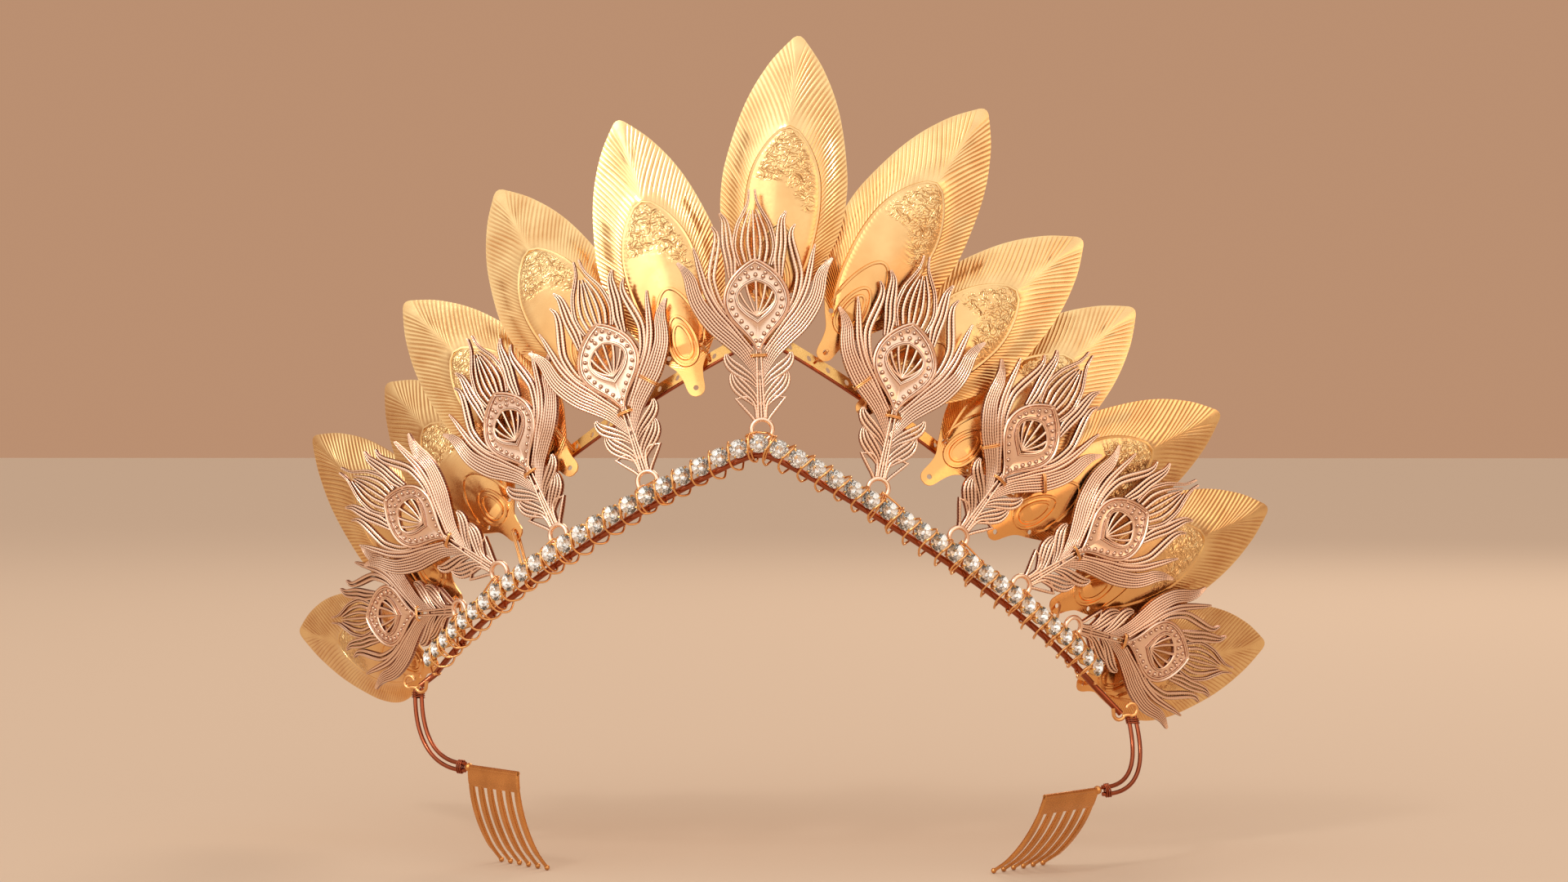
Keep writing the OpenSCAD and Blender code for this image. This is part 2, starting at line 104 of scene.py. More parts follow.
def skin(rings, looped=False, shade=0.0):
    """Closes a stack of equal rings (n, k, 3) into a solid: quads between rings and a flat cap on each end.

    The signed volume, a sixth of the sum of a . (b x c) over its triangles, tells which way the faces
    point, and they are turned round where it is negative. shade is kept with each point."""
    n, k = rings.shape[:2]
    i = np.arange(n if looped else n - 1)[:, None]
    j = np.arange(k)[None]
    nxt, side = (i + 1) % n, (j + 1) % k
    quads = np.stack([i * k + j, nxt * k + j, nxt * k + side, i * k + side], -1).reshape(-1, 4)
    caps = [] if looped else [np.arange(k), np.arange(n * k - 1, n * k - k - 1, -1)]
    points = rings.reshape(-1, 3)
    fans = [np.stack([np.full(k - 2, c[0]), c[1:-1], c[2:]], -1) for c in caps]
    tris = np.concatenate([quads[:, :3], quads[:, [0, 2, 3]], *fans])
    a, b, c = (points[tris[:, m]] - points[0] for m in range(3))
    if np.sum(a * np.cross(b, c)) < 0:
        quads, caps = quads[:, ::-1], [c[::-1] for c in caps]
    return points, quads, caps, np.broadcast_to(shade, rings.shape[:2]).reshape(-1)


def carry(path, profile, reference, looped=False, shade=0.0):
    """Carries a closed profile (k, 2) or (n, k, 2) along a path of n points and closes its ends.

    Each ring stands square to the path: its first axis is the path's direction crossed with the
    reference, and its second is the first crossed with the direction."""
    path = np.asarray(path, float)
    step = np.roll(path, -1, 0) - np.roll(path, 1, 0) if looped else np.gradient(path, axis=0)
    along = unit(step)
    side = unit(np.cross(along, reference))
    up = np.cross(side, along)
    profile = np.asarray(profile, float)
    rings = path[:, None] + profile[..., :1] * side[:, None] + profile[..., 1:] * up[:, None]
    return skin(rings, looped, shade)


def round_profile(diameter, sides):
    """A circle of that diameter as a polygon."""
    turn = 2 * np.pi * np.arange(sides) / sides
    return diameter / 2 * np.stack([np.cos(turn), np.sin(turn)], -1)


def smooth_path(knots, per_span, looped=False):
    """Catmull-Rom curve through the knots: on each span a cubic whose slope at a knot is half the difference
    between that knot's neighbours."""
    p = np.asarray(knots, float)
    ends = (p[-1:], p[:2]) if looped else (2 * p[:1] - p[1:2], 2 * p[-1:] - p[-2:-1])
    q = np.concatenate([ends[0], p, ends[1]])
    a, b, c, d = (q[m:len(q) - 3 + m, None] for m in range(4))
    t = (np.arange(per_span) / per_span)[None, :, None]
    curve = 0.5 * (2 * b + (c - a) * t + (2 * a - 5 * b + 4 * c - d) * t**2 + (3 * b - a - 3 * c + d) * t**3)
    curve = curve.reshape(-1, 3)
    return curve if looped else np.concatenate([curve, p[-1:]])


def build_piece(name, parts, material, sharp=55):
    """Joins closed parts into one mesh object at the origin, in metres, with edges sharper than this many
    degrees kept hard. The parts' shade becomes a point attribute of painted shade, which darkens the colour where
    a part lies in a recess."""
    offsets = np.cumsum([0] + [len(p[0]) for p in parts])
    points = np.concatenate([p[0] for p in parts]) * MM
    faces = np.concatenate([p[1] + o for p, o in zip(parts, offsets)]).tolist()
    faces += [(cap + o).tolist() for p, o in zip(parts, offsets) for cap in p[2]]
    mesh = bpy.data.meshes.new(name)
    mesh.from_pydata(points.tolist(), [], faces)
    recess_shade = mesh.attributes.new("recess_shade", "FLOAT", "POINT")
    recess_shade.data.foreach_set("value", np.concatenate([p[3] for p in parts]).astype(np.float32))
    mesh.polygons.foreach_set("use_smooth", np.ones(len(faces), bool))
    mesh.set_sharp_from_angle(angle=math.radians(sharp))
    mesh.materials.append(material)
    piece = bpy.data.objects.new(name, mesh)
    bpy.context.scene.collection.objects.link(piece)
    return piece


def linear(hex_colour):
    """An sRGB hex colour as linear RGBA: below 0.04045 divided by 12.92, else ((c + 0.055) / 1.055) ^ 2.4."""
    c = np.array([int(hex_colour[i:i + 2], 16) for i in (1, 3, 5)]) / 255
    return (*np.where(c <= 0.04045, c / 12.92, ((c + 0.055) / 1.055) ** 2.4), 1.0)


def add_node(tree, kind, inputs=None, **settings):
    """Adds a node, sets its properties, and sets or links each named or numbered input."""
    node = tree.nodes.new(kind)
    for key, value in settings.items():
        setattr(node, key, value)
    for key, value in (inputs or {}).items():
        if isinstance(value, bpy.types.NodeSocket):
            tree.links.new(value, node.inputs[key])
        else:
            node.inputs[key].default_value = value
    return node


def metal_finish(name, bright, deep, roughness, grain, bump, drift_share=0.3, recess_shade_share=0.0):
    """A polished or lacquered metal. Colour drifts between bright and deep in soft clouds of 6 mm and
    towards deep as painted shade in recesses; roughness and a fine bump follow a grain of the given size in
    millimetres."""
    material = bpy.data.materials.new(name)
    material.use_nodes = True
    tree = material.node_tree
    shader = tree.nodes["Principled BSDF"]
    where = add_node(tree, "ShaderNodeTexCoord").outputs["Object"]
    clouds = add_node(tree, "ShaderNodeTexNoise", {"Vector": where, "Scale": 1 / (6 * MM), "Detail": 2.0})
    fine = add_node(tree, "ShaderNodeTexNoise", {"Vector": where, "Scale": 1 / (grain * MM), "Detail": 3.0})
    drift = add_node(tree, "ShaderNodeMapRange", {0: clouds.outputs[0], 1: 0.35, 2: 0.75, 3: 0.0,
                                                   4: drift_share})
    # Painted shade: a point attribute darkens the colour towards deep where a part lies in a recess
    recess_shade = add_node(tree, "ShaderNodeAttribute", attribute_name="recess_shade")
    drift_and_shade = add_node(tree, "ShaderNodeMath", {0: recess_shade.outputs["Fac"], 1: recess_shade_share,
                                                 2: drift.outputs[0]}, operation="MULTIPLY_ADD", use_clamp=True)
    tint = add_node(tree, "ShaderNodeMix", {"Factor": drift_and_shade.outputs[0], 6: linear(bright), 7: linear(deep)},
                    data_type="RGBA")
    rough = add_node(tree, "ShaderNodeMapRange", {0: fine.outputs[0], 1: 0.3, 2: 0.7, 3: roughness * 0.75,
                                                  4: roughness * 1.35})
    relief = add_node(tree, "ShaderNodeBump", {"Height": fine.outputs[0], "Strength": bump,
                                               "Distance": 0.02 * MM})
    tint.name, relief.name = "tint", "relief"
    shader.inputs["Metallic"].default_value = 1.0
    tree.links.new(tint.outputs[2], shader.inputs["Base Color"])
    tree.links.new(rough.outputs[0], shader.inputs["Roughness"])
    tree.links.new(relief.outputs[0], shader.inputs["Normal"])
    return material


# Drawn copper wire under clear lacquer: a warm red-brown with long soft highlights.
COPPER_WIRE = metal_finish("lacquered_copper_wire", "#A4583C", "#4E2014", roughness=0.16, grain=0.5, bump=0.25)


def stone_row(count, side):
    """Arc lengths of one half's stones: each step is one pitch, measured along the slope half-way on."""
    arcs = [0.0]
    for _ in range(count):
        arcs.append(arcs[-1] + STONE_PITCH / math.hypot(1, float(band_slope(side * (arcs[-1] + STONE_PITCH / 2)))))
    return side * np.array(arcs[1:])


stone_arcs = np.concatenate([stone_row(STONES_LEFT, -1)[::-1], [0.0], stone_row(STONES_RIGHT, 1)])
wire_arcs = np.linspace(stone_arcs[0] - STONE_PITCH / 2, stone_arcs[-1] + STONE_PITCH / 2, 105)
wire_run = on_hoop(wire_arcs, FRAME_WIRE_R, -FRAME_WIRE_DROP)
left_lead = np.linspace(LEFT_HOOK, wire_run[0], 6)[:-1]
right_lead = np.linspace(wire_run[-1], RIGHT_HOOK, 6)[1:]
wire_path = np.concatenate([left_lead, wire_run, right_lead]) + CROWN_SHIFT
frame_wire = build_piece("frame_wire", [carry(wire_path, round_profile(FRAME_WIRE_D, 12), (0, 0, 1))], COPPER_WIRE)
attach(frame_wire, "root")
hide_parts("band_wire")

# ---- Claw cups ----
# A string of 46 round cups pressed from gilt brass, each joined to the next by a short link. Four claws
# at its rim are bent over the crystal.
CUP_BACK_R = 84.65
CUP_WALLS = np.array([[1.35, 0.0], [1.62, 0.12], [1.76, 0.6], [1.76, 1.38], [1.72, 1.46], [1.64, 1.42],
                      [1.6, 0.6], [1.5, 0.45]])  # radius, depth
CLAW_BEND = np.array([[1.74, 0.4], [1.86, 1.3], [1.91, 1.68], [1.78, 1.9], [1.5, 1.95]])
CLAW_D, CLAW_TAPER = 0.42, np.array([1.0, 1.0, 0.95, 0.85, 0.6])  # taper: share of the thickness at each point
# Link: width, thickness, half its length, height over the cup's back
LINK_W, LINK_T, LINK_REACH, LINK_LIFT = 0.9, 0.3, 0.45, 0.6

# Gilt brass, plated and bright: deep yellow with sharp highlights.
GILT_BRASS = metal_finish("gilt_brass", "#F9CB80", "#A8642E", roughness=0.18, grain=0.35, bump=0.2,
                          drift_share=0.3, recess_shade_share=0.5)
cup_parts = []
ring_turn = 2 * np.pi * np.arange(18) / 18
for arc in stone_arcs:
    along, up, out = band_axes(arc)
    centre = on_hoop(arc, CUP_BACK_R, 0) + CROWN_SHIFT
    wheel = np.cos(ring_turn)[:, None] * along + np.sin(ring_turn)[:, None] * up
    cup_parts.append(skin(centre + CUP_WALLS[:, None, :1] * wheel + CUP_WALLS[:, None, 1:] * out))
    for corner in np.radians([45, 135, 225, 315]):
        spoke = np.cos(corner) * along + np.sin(corner) * up
        claw = centre + CLAW_BEND[:, :1] * spoke + CLAW_BEND[:, 1:] * out
        cup_parts.append(carry(claw, CLAW_TAPER[:, None, None] * round_profile(CLAW_D, 6), np.cross(spoke, out)))
link_arcs = (stone_arcs[1:] + stone_arcs[:-1]) / 2
link_profile = np.array([[-LINK_T, -LINK_W], [LINK_T, -LINK_W], [LINK_T, LINK_W], [-LINK_T, LINK_W]]) / 2
for arc in link_arcs:
    along, up, _ = band_axes(arc)
    middle = on_hoop(arc, CUP_BACK_R + LINK_LIFT, 0) + CROWN_SHIFT
    cup_parts.append(carry([middle - LINK_REACH * along, middle + LINK_REACH * along], link_profile, up))
claw_cups = build_piece("claw_cups", cup_parts, GILT_BRASS, 40)
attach(claw_cups, "root")
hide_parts("cup_chain")

# ---- Crystals ----
# Round brilliant-cut clear glass, one in each cup. The lower facets are mirrored with silver foil,
# which throws the light back through the table.
STONE_LEVELS = [  # points, radius, depth above the cup's back, turn in degrees
    (8, 1.02, 2.09, 22.5), (8, 1.5, 1.93, 0), (16, 1.86, 1.62, 0), (16, 1.86, 1.54, 0), (8, 0.85, 1.0, 0),
    (1, 0.0, 0.52, 0)]


def brilliant():
    """Points and facets of one stone: rings of points at set radii and depths, joined by kites and triangles."""
    points, starts = [], []
    for count, radius, depth, turn in STONE_LEVELS:
        starts.append(sum(len(p) for p in points))
        angle = np.radians(turn) + 2 * np.pi * np.arange(count) / count
        points.append(np.stack([radius * np.cos(angle), radius * np.sin(angle), np.full(count, depth)], -1))
    table, mid, top, low, pavilion, culet = starts
    crown = [list(range(table, table + 8))]
    foil = []
    for k in range(8):
        k1, g0, g1, g2 = (k + 1) % 8, 2 * k, 2 * k + 1, (2 * k + 2) % 16
        crown += [[table + k, mid + k, top + g1, mid + k1], [table + k, mid + k1, table + k1],
                  [mid + k, top + g0, top + g1], [mid + k1, top + g1, top + g2],
                  [top + g0, low + g0, low + g1, top + g1], [top + g1, low + g1, low + g2, top + g2]]
        foil += [[pavilion + k, low + g1, low + g0], [pavilion + k1, low + g2, low + g1],
                 [pavilion + k, pavilion + k1, low + g1], [culet, pavilion + k1, pavilion + k]]
    return np.concatenate(points), crown, foil


stone_points, crown_facets, foil_facets = brilliant()
along, up, out = (axis[:, None] for axis in band_axes(stone_arcs))
stone_centres = (on_hoop(stone_arcs, CUP_BACK_R, 0) + CROWN_SHIFT)[:, None]
stones = stone_centres + stone_points[:, :1] * along + stone_points[:, 1:2] * up + stone_points[:, 2:] * out
facets, is_foil = [], []
for i in range(len(stone_arcs)):
    facets += [[i * len(stone_points) + p for p in facet] for facet in crown_facets + foil_facets]
    is_foil += [0] * len(crown_facets) + [1] * len(foil_facets)
stone_mesh = bpy.data.meshes.new("crystals")
stone_mesh.from_pydata((stones.reshape(-1, 3) * MM).tolist(), [], facets)

# Lead crystal: clear, very smooth, and strongly refracting.
CRYSTAL = bpy.data.materials.new("lead_crystal")
CRYSTAL.use_nodes = True
crystal_shader = CRYSTAL.node_tree.nodes["Principled BSDF"]
crystal_shader.inputs["Base Color"].default_value = linear("#FFFFFF")
crystal_shader.inputs["Transmission Weight"].default_value = 1.0
crystal_shader.inputs["IOR"].default_value = 1.54
polish = add_node(CRYSTAL.node_tree, "ShaderNodeTexNoise", {
    "Vector": add_node(CRYSTAL.node_tree, "ShaderNodeTexCoord").outputs["Object"], "Scale": 1 / (1.5 * MM)})
polish_range = add_node(CRYSTAL.node_tree, "ShaderNodeMapRange", {0: polish.outputs[0], 3: 0.0, 4: 0.05})
CRYSTAL.node_tree.links.new(polish_range.outputs[0], crystal_shader.inputs["Roughness"])
# Silver foil behind the glass: a bright neutral mirror.
SILVER_FOIL = metal_finish("silver_foil_back", "#FFFFFF", "#F1EEE8", roughness=0.14, grain=0.4, bump=0.3)
for finish in (CRYSTAL, SILVER_FOIL):
    stone_mesh.materials.append(finish)
stone_mesh.polygons.foreach_set("material_index", np.array(is_foil, np.int32))
crystals = bpy.data.objects.new("crystals", stone_mesh)
bpy.context.scene.collection.objects.link(crystals)
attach(crystals, "root")
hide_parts("chain_stones")

# ---- Binding wire ----
# Thin gilt wire wound round the chain and the frame wire, once between each two cups. Between the
# turns it hangs in a small slack loop under the cup.
BINDING_D = 0.46
LEVEL_SHARE = 0.85  # arc along the hoop for a length along the sloping band, about
BINDING_CORE_R, BINDING_CORE_LIFT = 84.3, -1.0  # middle of what the wire is wound round
# One turn: share of a pitch along the band, height across it, radius from the hoop's axis
BINDING_TURN = np.array([[0.14, 2.1, 84.6], [0.1, 1.4, 86.1], [-0.02, 0.0, 86.48], [-0.16, -1.6, 86.1],
                         [-0.16, -2.6, 85.2], [-0.02, -3.1, 84.4], [0.2, -3.25, 83.3], [0.36, -2.7, 82.4],
                         [0.62, -1.1, 82.0], [0.95, 1.0, 82.5]])
# Soft gilt wire, drawn thin: warm yellow with small bright highlights.
GOLD_WIRE = metal_finish("gold_binding_wire", "#F6BE80", "#A85E2C", roughness=0.18, grain=0.3, bump=0.15)
sway = np.random.default_rng(7)
turn_count = len(link_arcs)
turns = np.repeat(BINDING_TURN[None], turn_count, 0)
turns[:, 4:8, 1] += sway.uniform(-0.7, 0.1, (turn_count, 1)) * np.array([0.5, 0.8, 1.0, 0.4])
turns[:, :, 0] += sway.uniform(-0.03, 0.03, (turn_count, 1))
turn_arcs = (link_arcs[:, None] + turns[..., 0] * STONE_PITCH * LEVEL_SHARE).reshape(-1)
turn_arcs = np.clip(turn_arcs, wire_arcs[0], wire_arcs[-1])
heights, radii = turns[..., 1].reshape(-1), turns[..., 2].reshape(-1)
_, up, out = band_axes(turn_arcs)
binding_knots = on_hoop(turn_arcs, HOOP_R, 0) + heights[:, None] * up + (radii - HOOP_R)[:, None] * out
binding_path = smooth_path(binding_knots + CROWN_SHIFT, 4)
core = smooth_path(on_hoop(turn_arcs, BINDING_CORE_R, BINDING_CORE_LIFT) + CROWN_SHIFT, 4)
binding_wire = build_piece("binding_wire", [carry(binding_path, round_profile(BINDING_D, 6), binding_path - core)],
                           GOLD_WIRE, 80)
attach(binding_wire, "root")

# ---- Feathers ----
# Nine peacock feathers cast in a rose-gold alloy and pierced. Each is a bundle of milled strands, rows of
# fine beads, round an eye plate; a ring at its foot takes the wire that ties it to the band.
FEATHER_R = 83.2
FEATHERS = [  # name, hoop angle, height of the ring above the stones, lean, tilt, turn
    ("centre", 0.3, 2.7, -2.5, 2, 8), ("left_1", -15.6, 3.1, -21, 5, 3), ("left_2", -29.5, 3.5, -32, 4, 2),
    ("left_3", -40.6, 5, -64, -9, 1.5), ("left_4", -50, 5, -95, -4.5, -4), ("right_1", 16.2, 3.4, 13, 2.5, -1),
    ("right_2", 28, 4.2, 39, -2, 2), ("right_3", 38.5, 4, 64, -8.5, -3.5), ("right_4", 49, 5.2, 103.5, -9, 10.5)]
RING_R, RING_BAR_D = 2.075, 1.0
BEAD_PITCH = 0.6  # the real beads stand about 0.45 apart
CAST_BACK = -0.6  # depth of the flat cast back behind the plate's middle
ROD_LIFT, GROUND_LIFT = 0.08, 0.04  # a rod's axis before the plate's middle, the ground's face before that axis
# Right half, from root to tip: rows of x, height, half width; then how many strands stand side by side, each
# strand's width as a share of its spacing, and whether the ground between them is closed
STRAND_BANDS = [
    ([(0.3, 10.6, 0.55), (2.8, 15, 1.3), (5.5, 17.9, 1.6), (8.1, 20.3, 1.7), (10.1, 22.8, 1.7), (11.6, 25.2, 1.55),
      (12.4, 27.5, 1.42), (12.9, 29.7, 1.25), (13.9, 31.7, 0.8), (15.4, 33.4, 0.22)], 6, 1.0, True),
    ([(1.2, 15.6, 0.45), (2.8, 17.5, 0.6), (5.3, 20.7, 0.7), (7.9, 23.9, 0.78), (9.8, 27.6, 0.78),
      (10.9, 31.6, 0.65), (11.5, 34.2, 0.45), (12.1, 36.3, 0.18)], 2, 0.98, True),
    ([(5.9, 23, 0.35), (7.4, 25.3, 0.75), (8.3, 27.8, 0.9), (8.7, 30.2, 0.95), (8.35, 32.6, 1), (7.8, 35, 0.95),
      (7.4, 37.2, 0.8), (7.5, 39, 0.55), (8.3, 40.4, 0.22)], 2, 0.93, False),
    ([(4.7, 30, 0.8), (4.8, 33.3, 1.3), (5.3, 36.4, 1.3), (5.45, 39, 1.15), (5.7, 41.3, 0.75), (6.6, 43, 0.22)],
     3, 0.93, False),
    ([(3, 32.4, 0.45), (3.85, 35.2, 0.5), (3.9, 37.4, 0.5), (3.15, 40.5, 0.45), (1.9, 42.9, 0.4),
      (1.05, 44.6, 0.32), (0.72, 46, 0.25), (0.6, 47.5, 0.18)], 2, 0.95, False),
    ([(1.95, 33, 0.4), (2.55, 36, 0.42), (2.25, 39, 0.38), (1.35, 41.8, 0.28), (0.6, 43.6, 0.16)], 1, 1, False),
    ([(0.85, 33.4, 0.38), (1.25, 36.5, 0.4), (1.05, 39.5, 0.34), (0.45, 42.6, 0.2)], 1, 1, False),
    ([(0.5, 8.6, 0.5), (2, 10.3, 1.0), (3.9, 11.7, 1.35), (5.4, 12.9, 1.3), (6.2, 14.1, 0.9), (6.4, 15.2, 0.3)],
     3, 0.96, False),
    ([(0.6, 4.6, 0.6), (1.7, 6.3, 1.25), (3.2, 7.8, 1.65), (4.4, 9.1, 1.6), (5.1, 10.5, 1.05), (5.2, 11.6, 0.35)],
     4, 0.96, False),
    ([(0.9, 2.2, 0.36), (1.05, 4, 0.36), (1.6, 5.7, 0.36), (2.9, 6.6, 0.34), (4.9, 6.2, 0.22)], 1, 1, False),
    ([(1.25, 1.7, 0.36), (1.9, 2.7, 0.36), (3, 4, 0.36), (4, 5.2, 0.34), (5, 6.4, 0.22)], 1, 1, False),
    ([(0.62, 2.2, 0.34), (0.56, 7, 0.32), (0.46, 12, 0.28), (0.4, 16.2, 0.24)], 1, 1, False)]
STEM_BEADS = [(0, 2, 0.32), (0, 6, 0.3), (0, 10, 0.24)]
CENTRE_RIB = [(0, 33, 0.36), (0, 38, 0.36), (0, 43.4, 0.18)]
EYE_LOWER = [(0, 14.4), (1.0, 19), (6.7, 20.6), (6.7, 25.6)]
EYE_UPPER = [(6.7, 25.6), (6.7, 29.8), (2.6, 33), (0, 34)]
WINDOW_LOWER = [(0, 21.8), (0.8, 22.6), (3.5, 24), (3.5, 26.2)]
WINDOW_UPPER = [(3.5, 26.2), (3.5, 27.6), (1.4, 29), (0, 29.2)]
# The eye plate from its window to its outer edge: distance from the nearer edge, height of the surface, and
# how much painted shade it gets where it lies deep. Distances above zero count from the window, those below zero
# from the outer edge.
EYE_SECTION = np.array([
    (0.01, CAST_BACK, 0.4), (0.01, 0.25, 0.4), (0.14, 0.46, 0), (0.36, 0.46, 0), (0.42, 0.22, 0.7),
    (0.48, 0.34, 0), (0.7, 0.34, 0), (0.78, 0.04, 0.7), (0.88, 0.0, 0.05), (-1.14, 0.0, 0.05), (-1.06, 0.04, 0.7),
    (-0.99, 0.34, 0), (-0.76, 0.34, 0), (-0.68, 0.18, 0.7), (-0.6, 0.4, 0), (-0.38, 0.6, 0),
    (-0.16, 0.5, 0), (-0.01, 0.2, 0.5), (-0.01, CAST_BACK, 0.4)])
# One granule, a bead in a fine raised ring: radius, height, painted shade (dark at its foot and in the ring's
# groove)
GRANULE = np.array([(0.52, -0.02, 0.9), (0.5, 0.13, 0.2), (0.42, 0.15, 0.1), (0.37, 0.06, 0.9), (0.31, 0.24, 0.3),
                    (0.19, 0.37, 0), (0.04, 0.42, 0)])
GRANULE_PITCH, GRANULE_INSET = 1.55, 1.7
TOP_GRANULES = [(-1.5, 30.25), (0, 30.65), (1.5, 30.25)]
FAN_ANGLES, FAN_ROOT = (-51, -34, -17, 0, 17, 34, 51), 22.4
FAN_SHORTEST, FAN_GAIN = 3.1, 3.9  # length of a level rib, and how much longer an upright one is


def bezier(points, u):
    """Cubic Bezier curve at each u."""
    p = np.asarray(points, float)
    u = np.asarray(u)[:, None]
    return (1 - u)**3 * p[0] + 3 * u * (1 - u)**2 * p[1] + 3 * u * u * (1 - u) * p[2] + u**3 * p[3]


def mirrored(part):
    """The same closed part on the other side of x = 0, with its faces turned to point outwards again."""
    points, quads, caps, shade = part
    return points * (-1, 1, 1), quads[:, ::-1], [c[::-1] for c in caps], shade


def length_walked(line):
    """Length along a line of points from its start to each of them."""
    return np.concatenate([[0], np.cumsum(np.linalg.norm(np.diff(line, axis=0), axis=1))])


def milled_strand(line, half_width, ground=None, waist=0.78):
    """A half-round rod with a flat back, on a line drawn in the feather's plane, swelling into beads.

    Rings stand half a bead apart and are in turn full size and as narrow as the waist. A strand with a
    ground stands on a flat strip of that half width. The rod's feet, its back and the ground get painted
    shade, and more painted shade is added at each ring in proportion to how far it is drawn in."""
    walked = length_walked(line)
    count = 2 * max(3, round(walked[-1] / BEAD_PITCH)) + 1
    at = np.linspace(0, walked[-1], count)
    path = np.stack([np.interp(at, walked, line[:, 0]), np.interp(at, walked, line[:, 1]),
                     np.full(count, ROD_LIFT)], -1)
    bead = np.where(np.arange(count) % 2, 1.0, waist)
    width = np.interp(at, walked, half_width)
    reach, rise = width * bead, np.minimum(width * (1.1 if ground is None else 0.9), 0.44) * bead
    turn = np.radians([0, 45, 90, 135, 180])
    profile = [np.stack([math.cos(t) * reach, math.sin(t) * rise], -1) for t in turn]
    # Painted shade at each point of the profile, and how much more of it a ring gets at a waist
    shade, waist_shade = [0.8, 0, 0, 0, 0.8], [1, 0.8, 0.4, 0.8, 1]
    foot = reach * 0.9
    if ground is not None:
        foot = np.interp(at, walked, ground)
        profile.append(np.stack([-foot, np.full(count, GROUND_LIFT)], -1))
        shade, waist_shade = [0.45, 0, 0, 0, 0.45, 0.55], [1.6, 0.6, 0.2, 0.6, 1.6, 2]
    profile += [np.stack([side * foot, np.full(count, CAST_BACK - ROD_LIFT)], -1) for side in (-1, 1)]
    shade, waist_shade = shade + [0.4, 0.4], waist_shade + [0, 0]
    if ground is not None:
        profile.append(np.stack([foot, np.full(count, GROUND_LIFT)], -1))
        shade, waist_shade = shade + [0.55], waist_shade + [2]
    shade = np.clip(np.array(shade) + (1 - bead[:, None]) * np.array(waist_shade), 0, 1)
    return carry(path, np.stack(profile, 1), (0, 0, 1), shade=shade)


def strand_band(knots, strands, share, closed):
    """Strands side by side along a smooth curve through the knots: each keeps its share of the half width."""
    curve = smooth_path(knots, 10)
    middle, half = curve[:, :2], curve[:, 2]
    along = unit(np.gradient(middle, axis=0))
    across = np.stack([-along[:, 1], along[:, 0]], -1)
    rod = np.clip(half / strands * share, 0.12, 0.5)
    slots = (2 * np.arange(strands) + 1) / strands - 1
    ground = half / strands * 1.02 if closed else None
    return [milled_strand(middle + (slot * half)[:, None] * across, rod, ground) for slot in slots]


def drop_outline(lower, upper, count):
    """Closed pointed drop: up its right side along two Bezier curves and down the mirrored left side."""
    u = np.linspace(0, 1, count, endpoint=False)
    right = np.concatenate([bezier(lower, u), bezier(upper, u)])
    left = np.concatenate([bezier(upper, 1 - u), bezier(lower, 1 - u)]) * (-1, 1)
    return np.concatenate([right, left])


def coil(low, high, side, radius, turns, spread):
    """A wire's path wound round two points: half circles round each, joined by straight legs, so that the
    middle jumps from one point to the other as the cosine of the turn changes sign. It drifts sideways by
    the spread from first turn to last."""
    low, high = np.asarray(low, float), np.asarray(high, float)
    t = np.linspace(0, 2 * np.pi * turns, 20 * turns + 1)[:, None]
    rise, side = unit(high - low), np.asarray(side, float)
    middle = np.where(np.cos(t) > 0, high, low)
    return (middle + radius * (np.cos(t) * rise + np.sin(t) * side)
            + (t / t[-1] - 0.5) * spread * np.cross(rise, side))


def feather_parts():
    """One feather drawn flat: x across, y along the stem from the ring's centre, z to the front."""
    half = [strand for band in STRAND_BANDS for strand in strand_band(*band)]
    parts = half + [mirrored(strand) for strand in half]
    parts += strand_band(STEM_BEADS, 1, 1, False) + strand_band(CENTRE_RIB, 1, 1, False)
    # The eye plate: a section of rims and a flat field, carried round between window and edge
    window, edge = drop_outline(WINDOW_LOWER, WINDOW_UPPER, 16), drop_outline(EYE_LOWER, EYE_UPPER, 16)
    gap = edge - window
    width = np.linalg.norm(gap, axis=1, keepdims=True)
    reach = EYE_SECTION[:, 0, None, None]
    flat = window + gap * np.where(reach > 0, reach / width, 1 + reach / width)
    rings = np.concatenate([flat, np.broadcast_to(EYE_SECTION[:, 1, None, None], flat.shape[:2] + (1,))], -1)
    parts.append(skin(np.swapaxes(rings, 0, 1), True, EYE_SECTION[None, :, 2]))
    # Granules in a row round the field, and three more over the window where the field is wider
    row = edge - unit(gap) * GRANULE_INSET
    row = np.concatenate([row, row[:1]])
    walked = length_walked(row)
    at = np.linspace(0, walked[-1], round(walked[-1] / GRANULE_PITCH), endpoint=False)
    spots = np.stack([np.interp(at, walked, row[:, 0]), np.interp(at, walked, row[:, 1])], -1)
    spots = np.concatenate([spots, TOP_GRANULES])
    turn = 2 * np.pi * np.arange(9) / 9
    wheel = np.stack([np.cos(turn), np.sin(turn)], -1)
    granule = np.concatenate([GRANULE[:, None, :1] * wheel, np.broadcast_to(GRANULE[:, 1, None, None],
                                                                            (len(GRANULE), 9, 1))], -1)
    parts += [skin(granule + (*spot, 0.0), False, GRANULE[:, 2, None]) for spot in spots]
    # Fan of ribs across the window, each wider towards the rim
    t = np.linspace(0, 1, 8)
    for angle in np.radians(FAN_ANGLES):
        reach = FAN_SHORTEST + FAN_GAIN * math.cos(angle)**2
        line = reach * np.stack([math.sin(angle) * (1.5 * t - 0.5 * t * t), math.cos(angle) * t], -1)
        parts.append(milled_strand(line + (0, FAN_ROOT), 0.2 + 0.14 * t, waist=0.88))
    # The ring at the foot
    turn = 2 * np.pi * np.arange(36) / 36
    circle = np.stack([np.cos(turn), np.sin(turn), 0 * turn], -1)
    parts.append(carry(RING_R * circle, round_profile(RING_BAR_D, 10) * (1, 1.15), (0, 0, 1), True))
    return parts


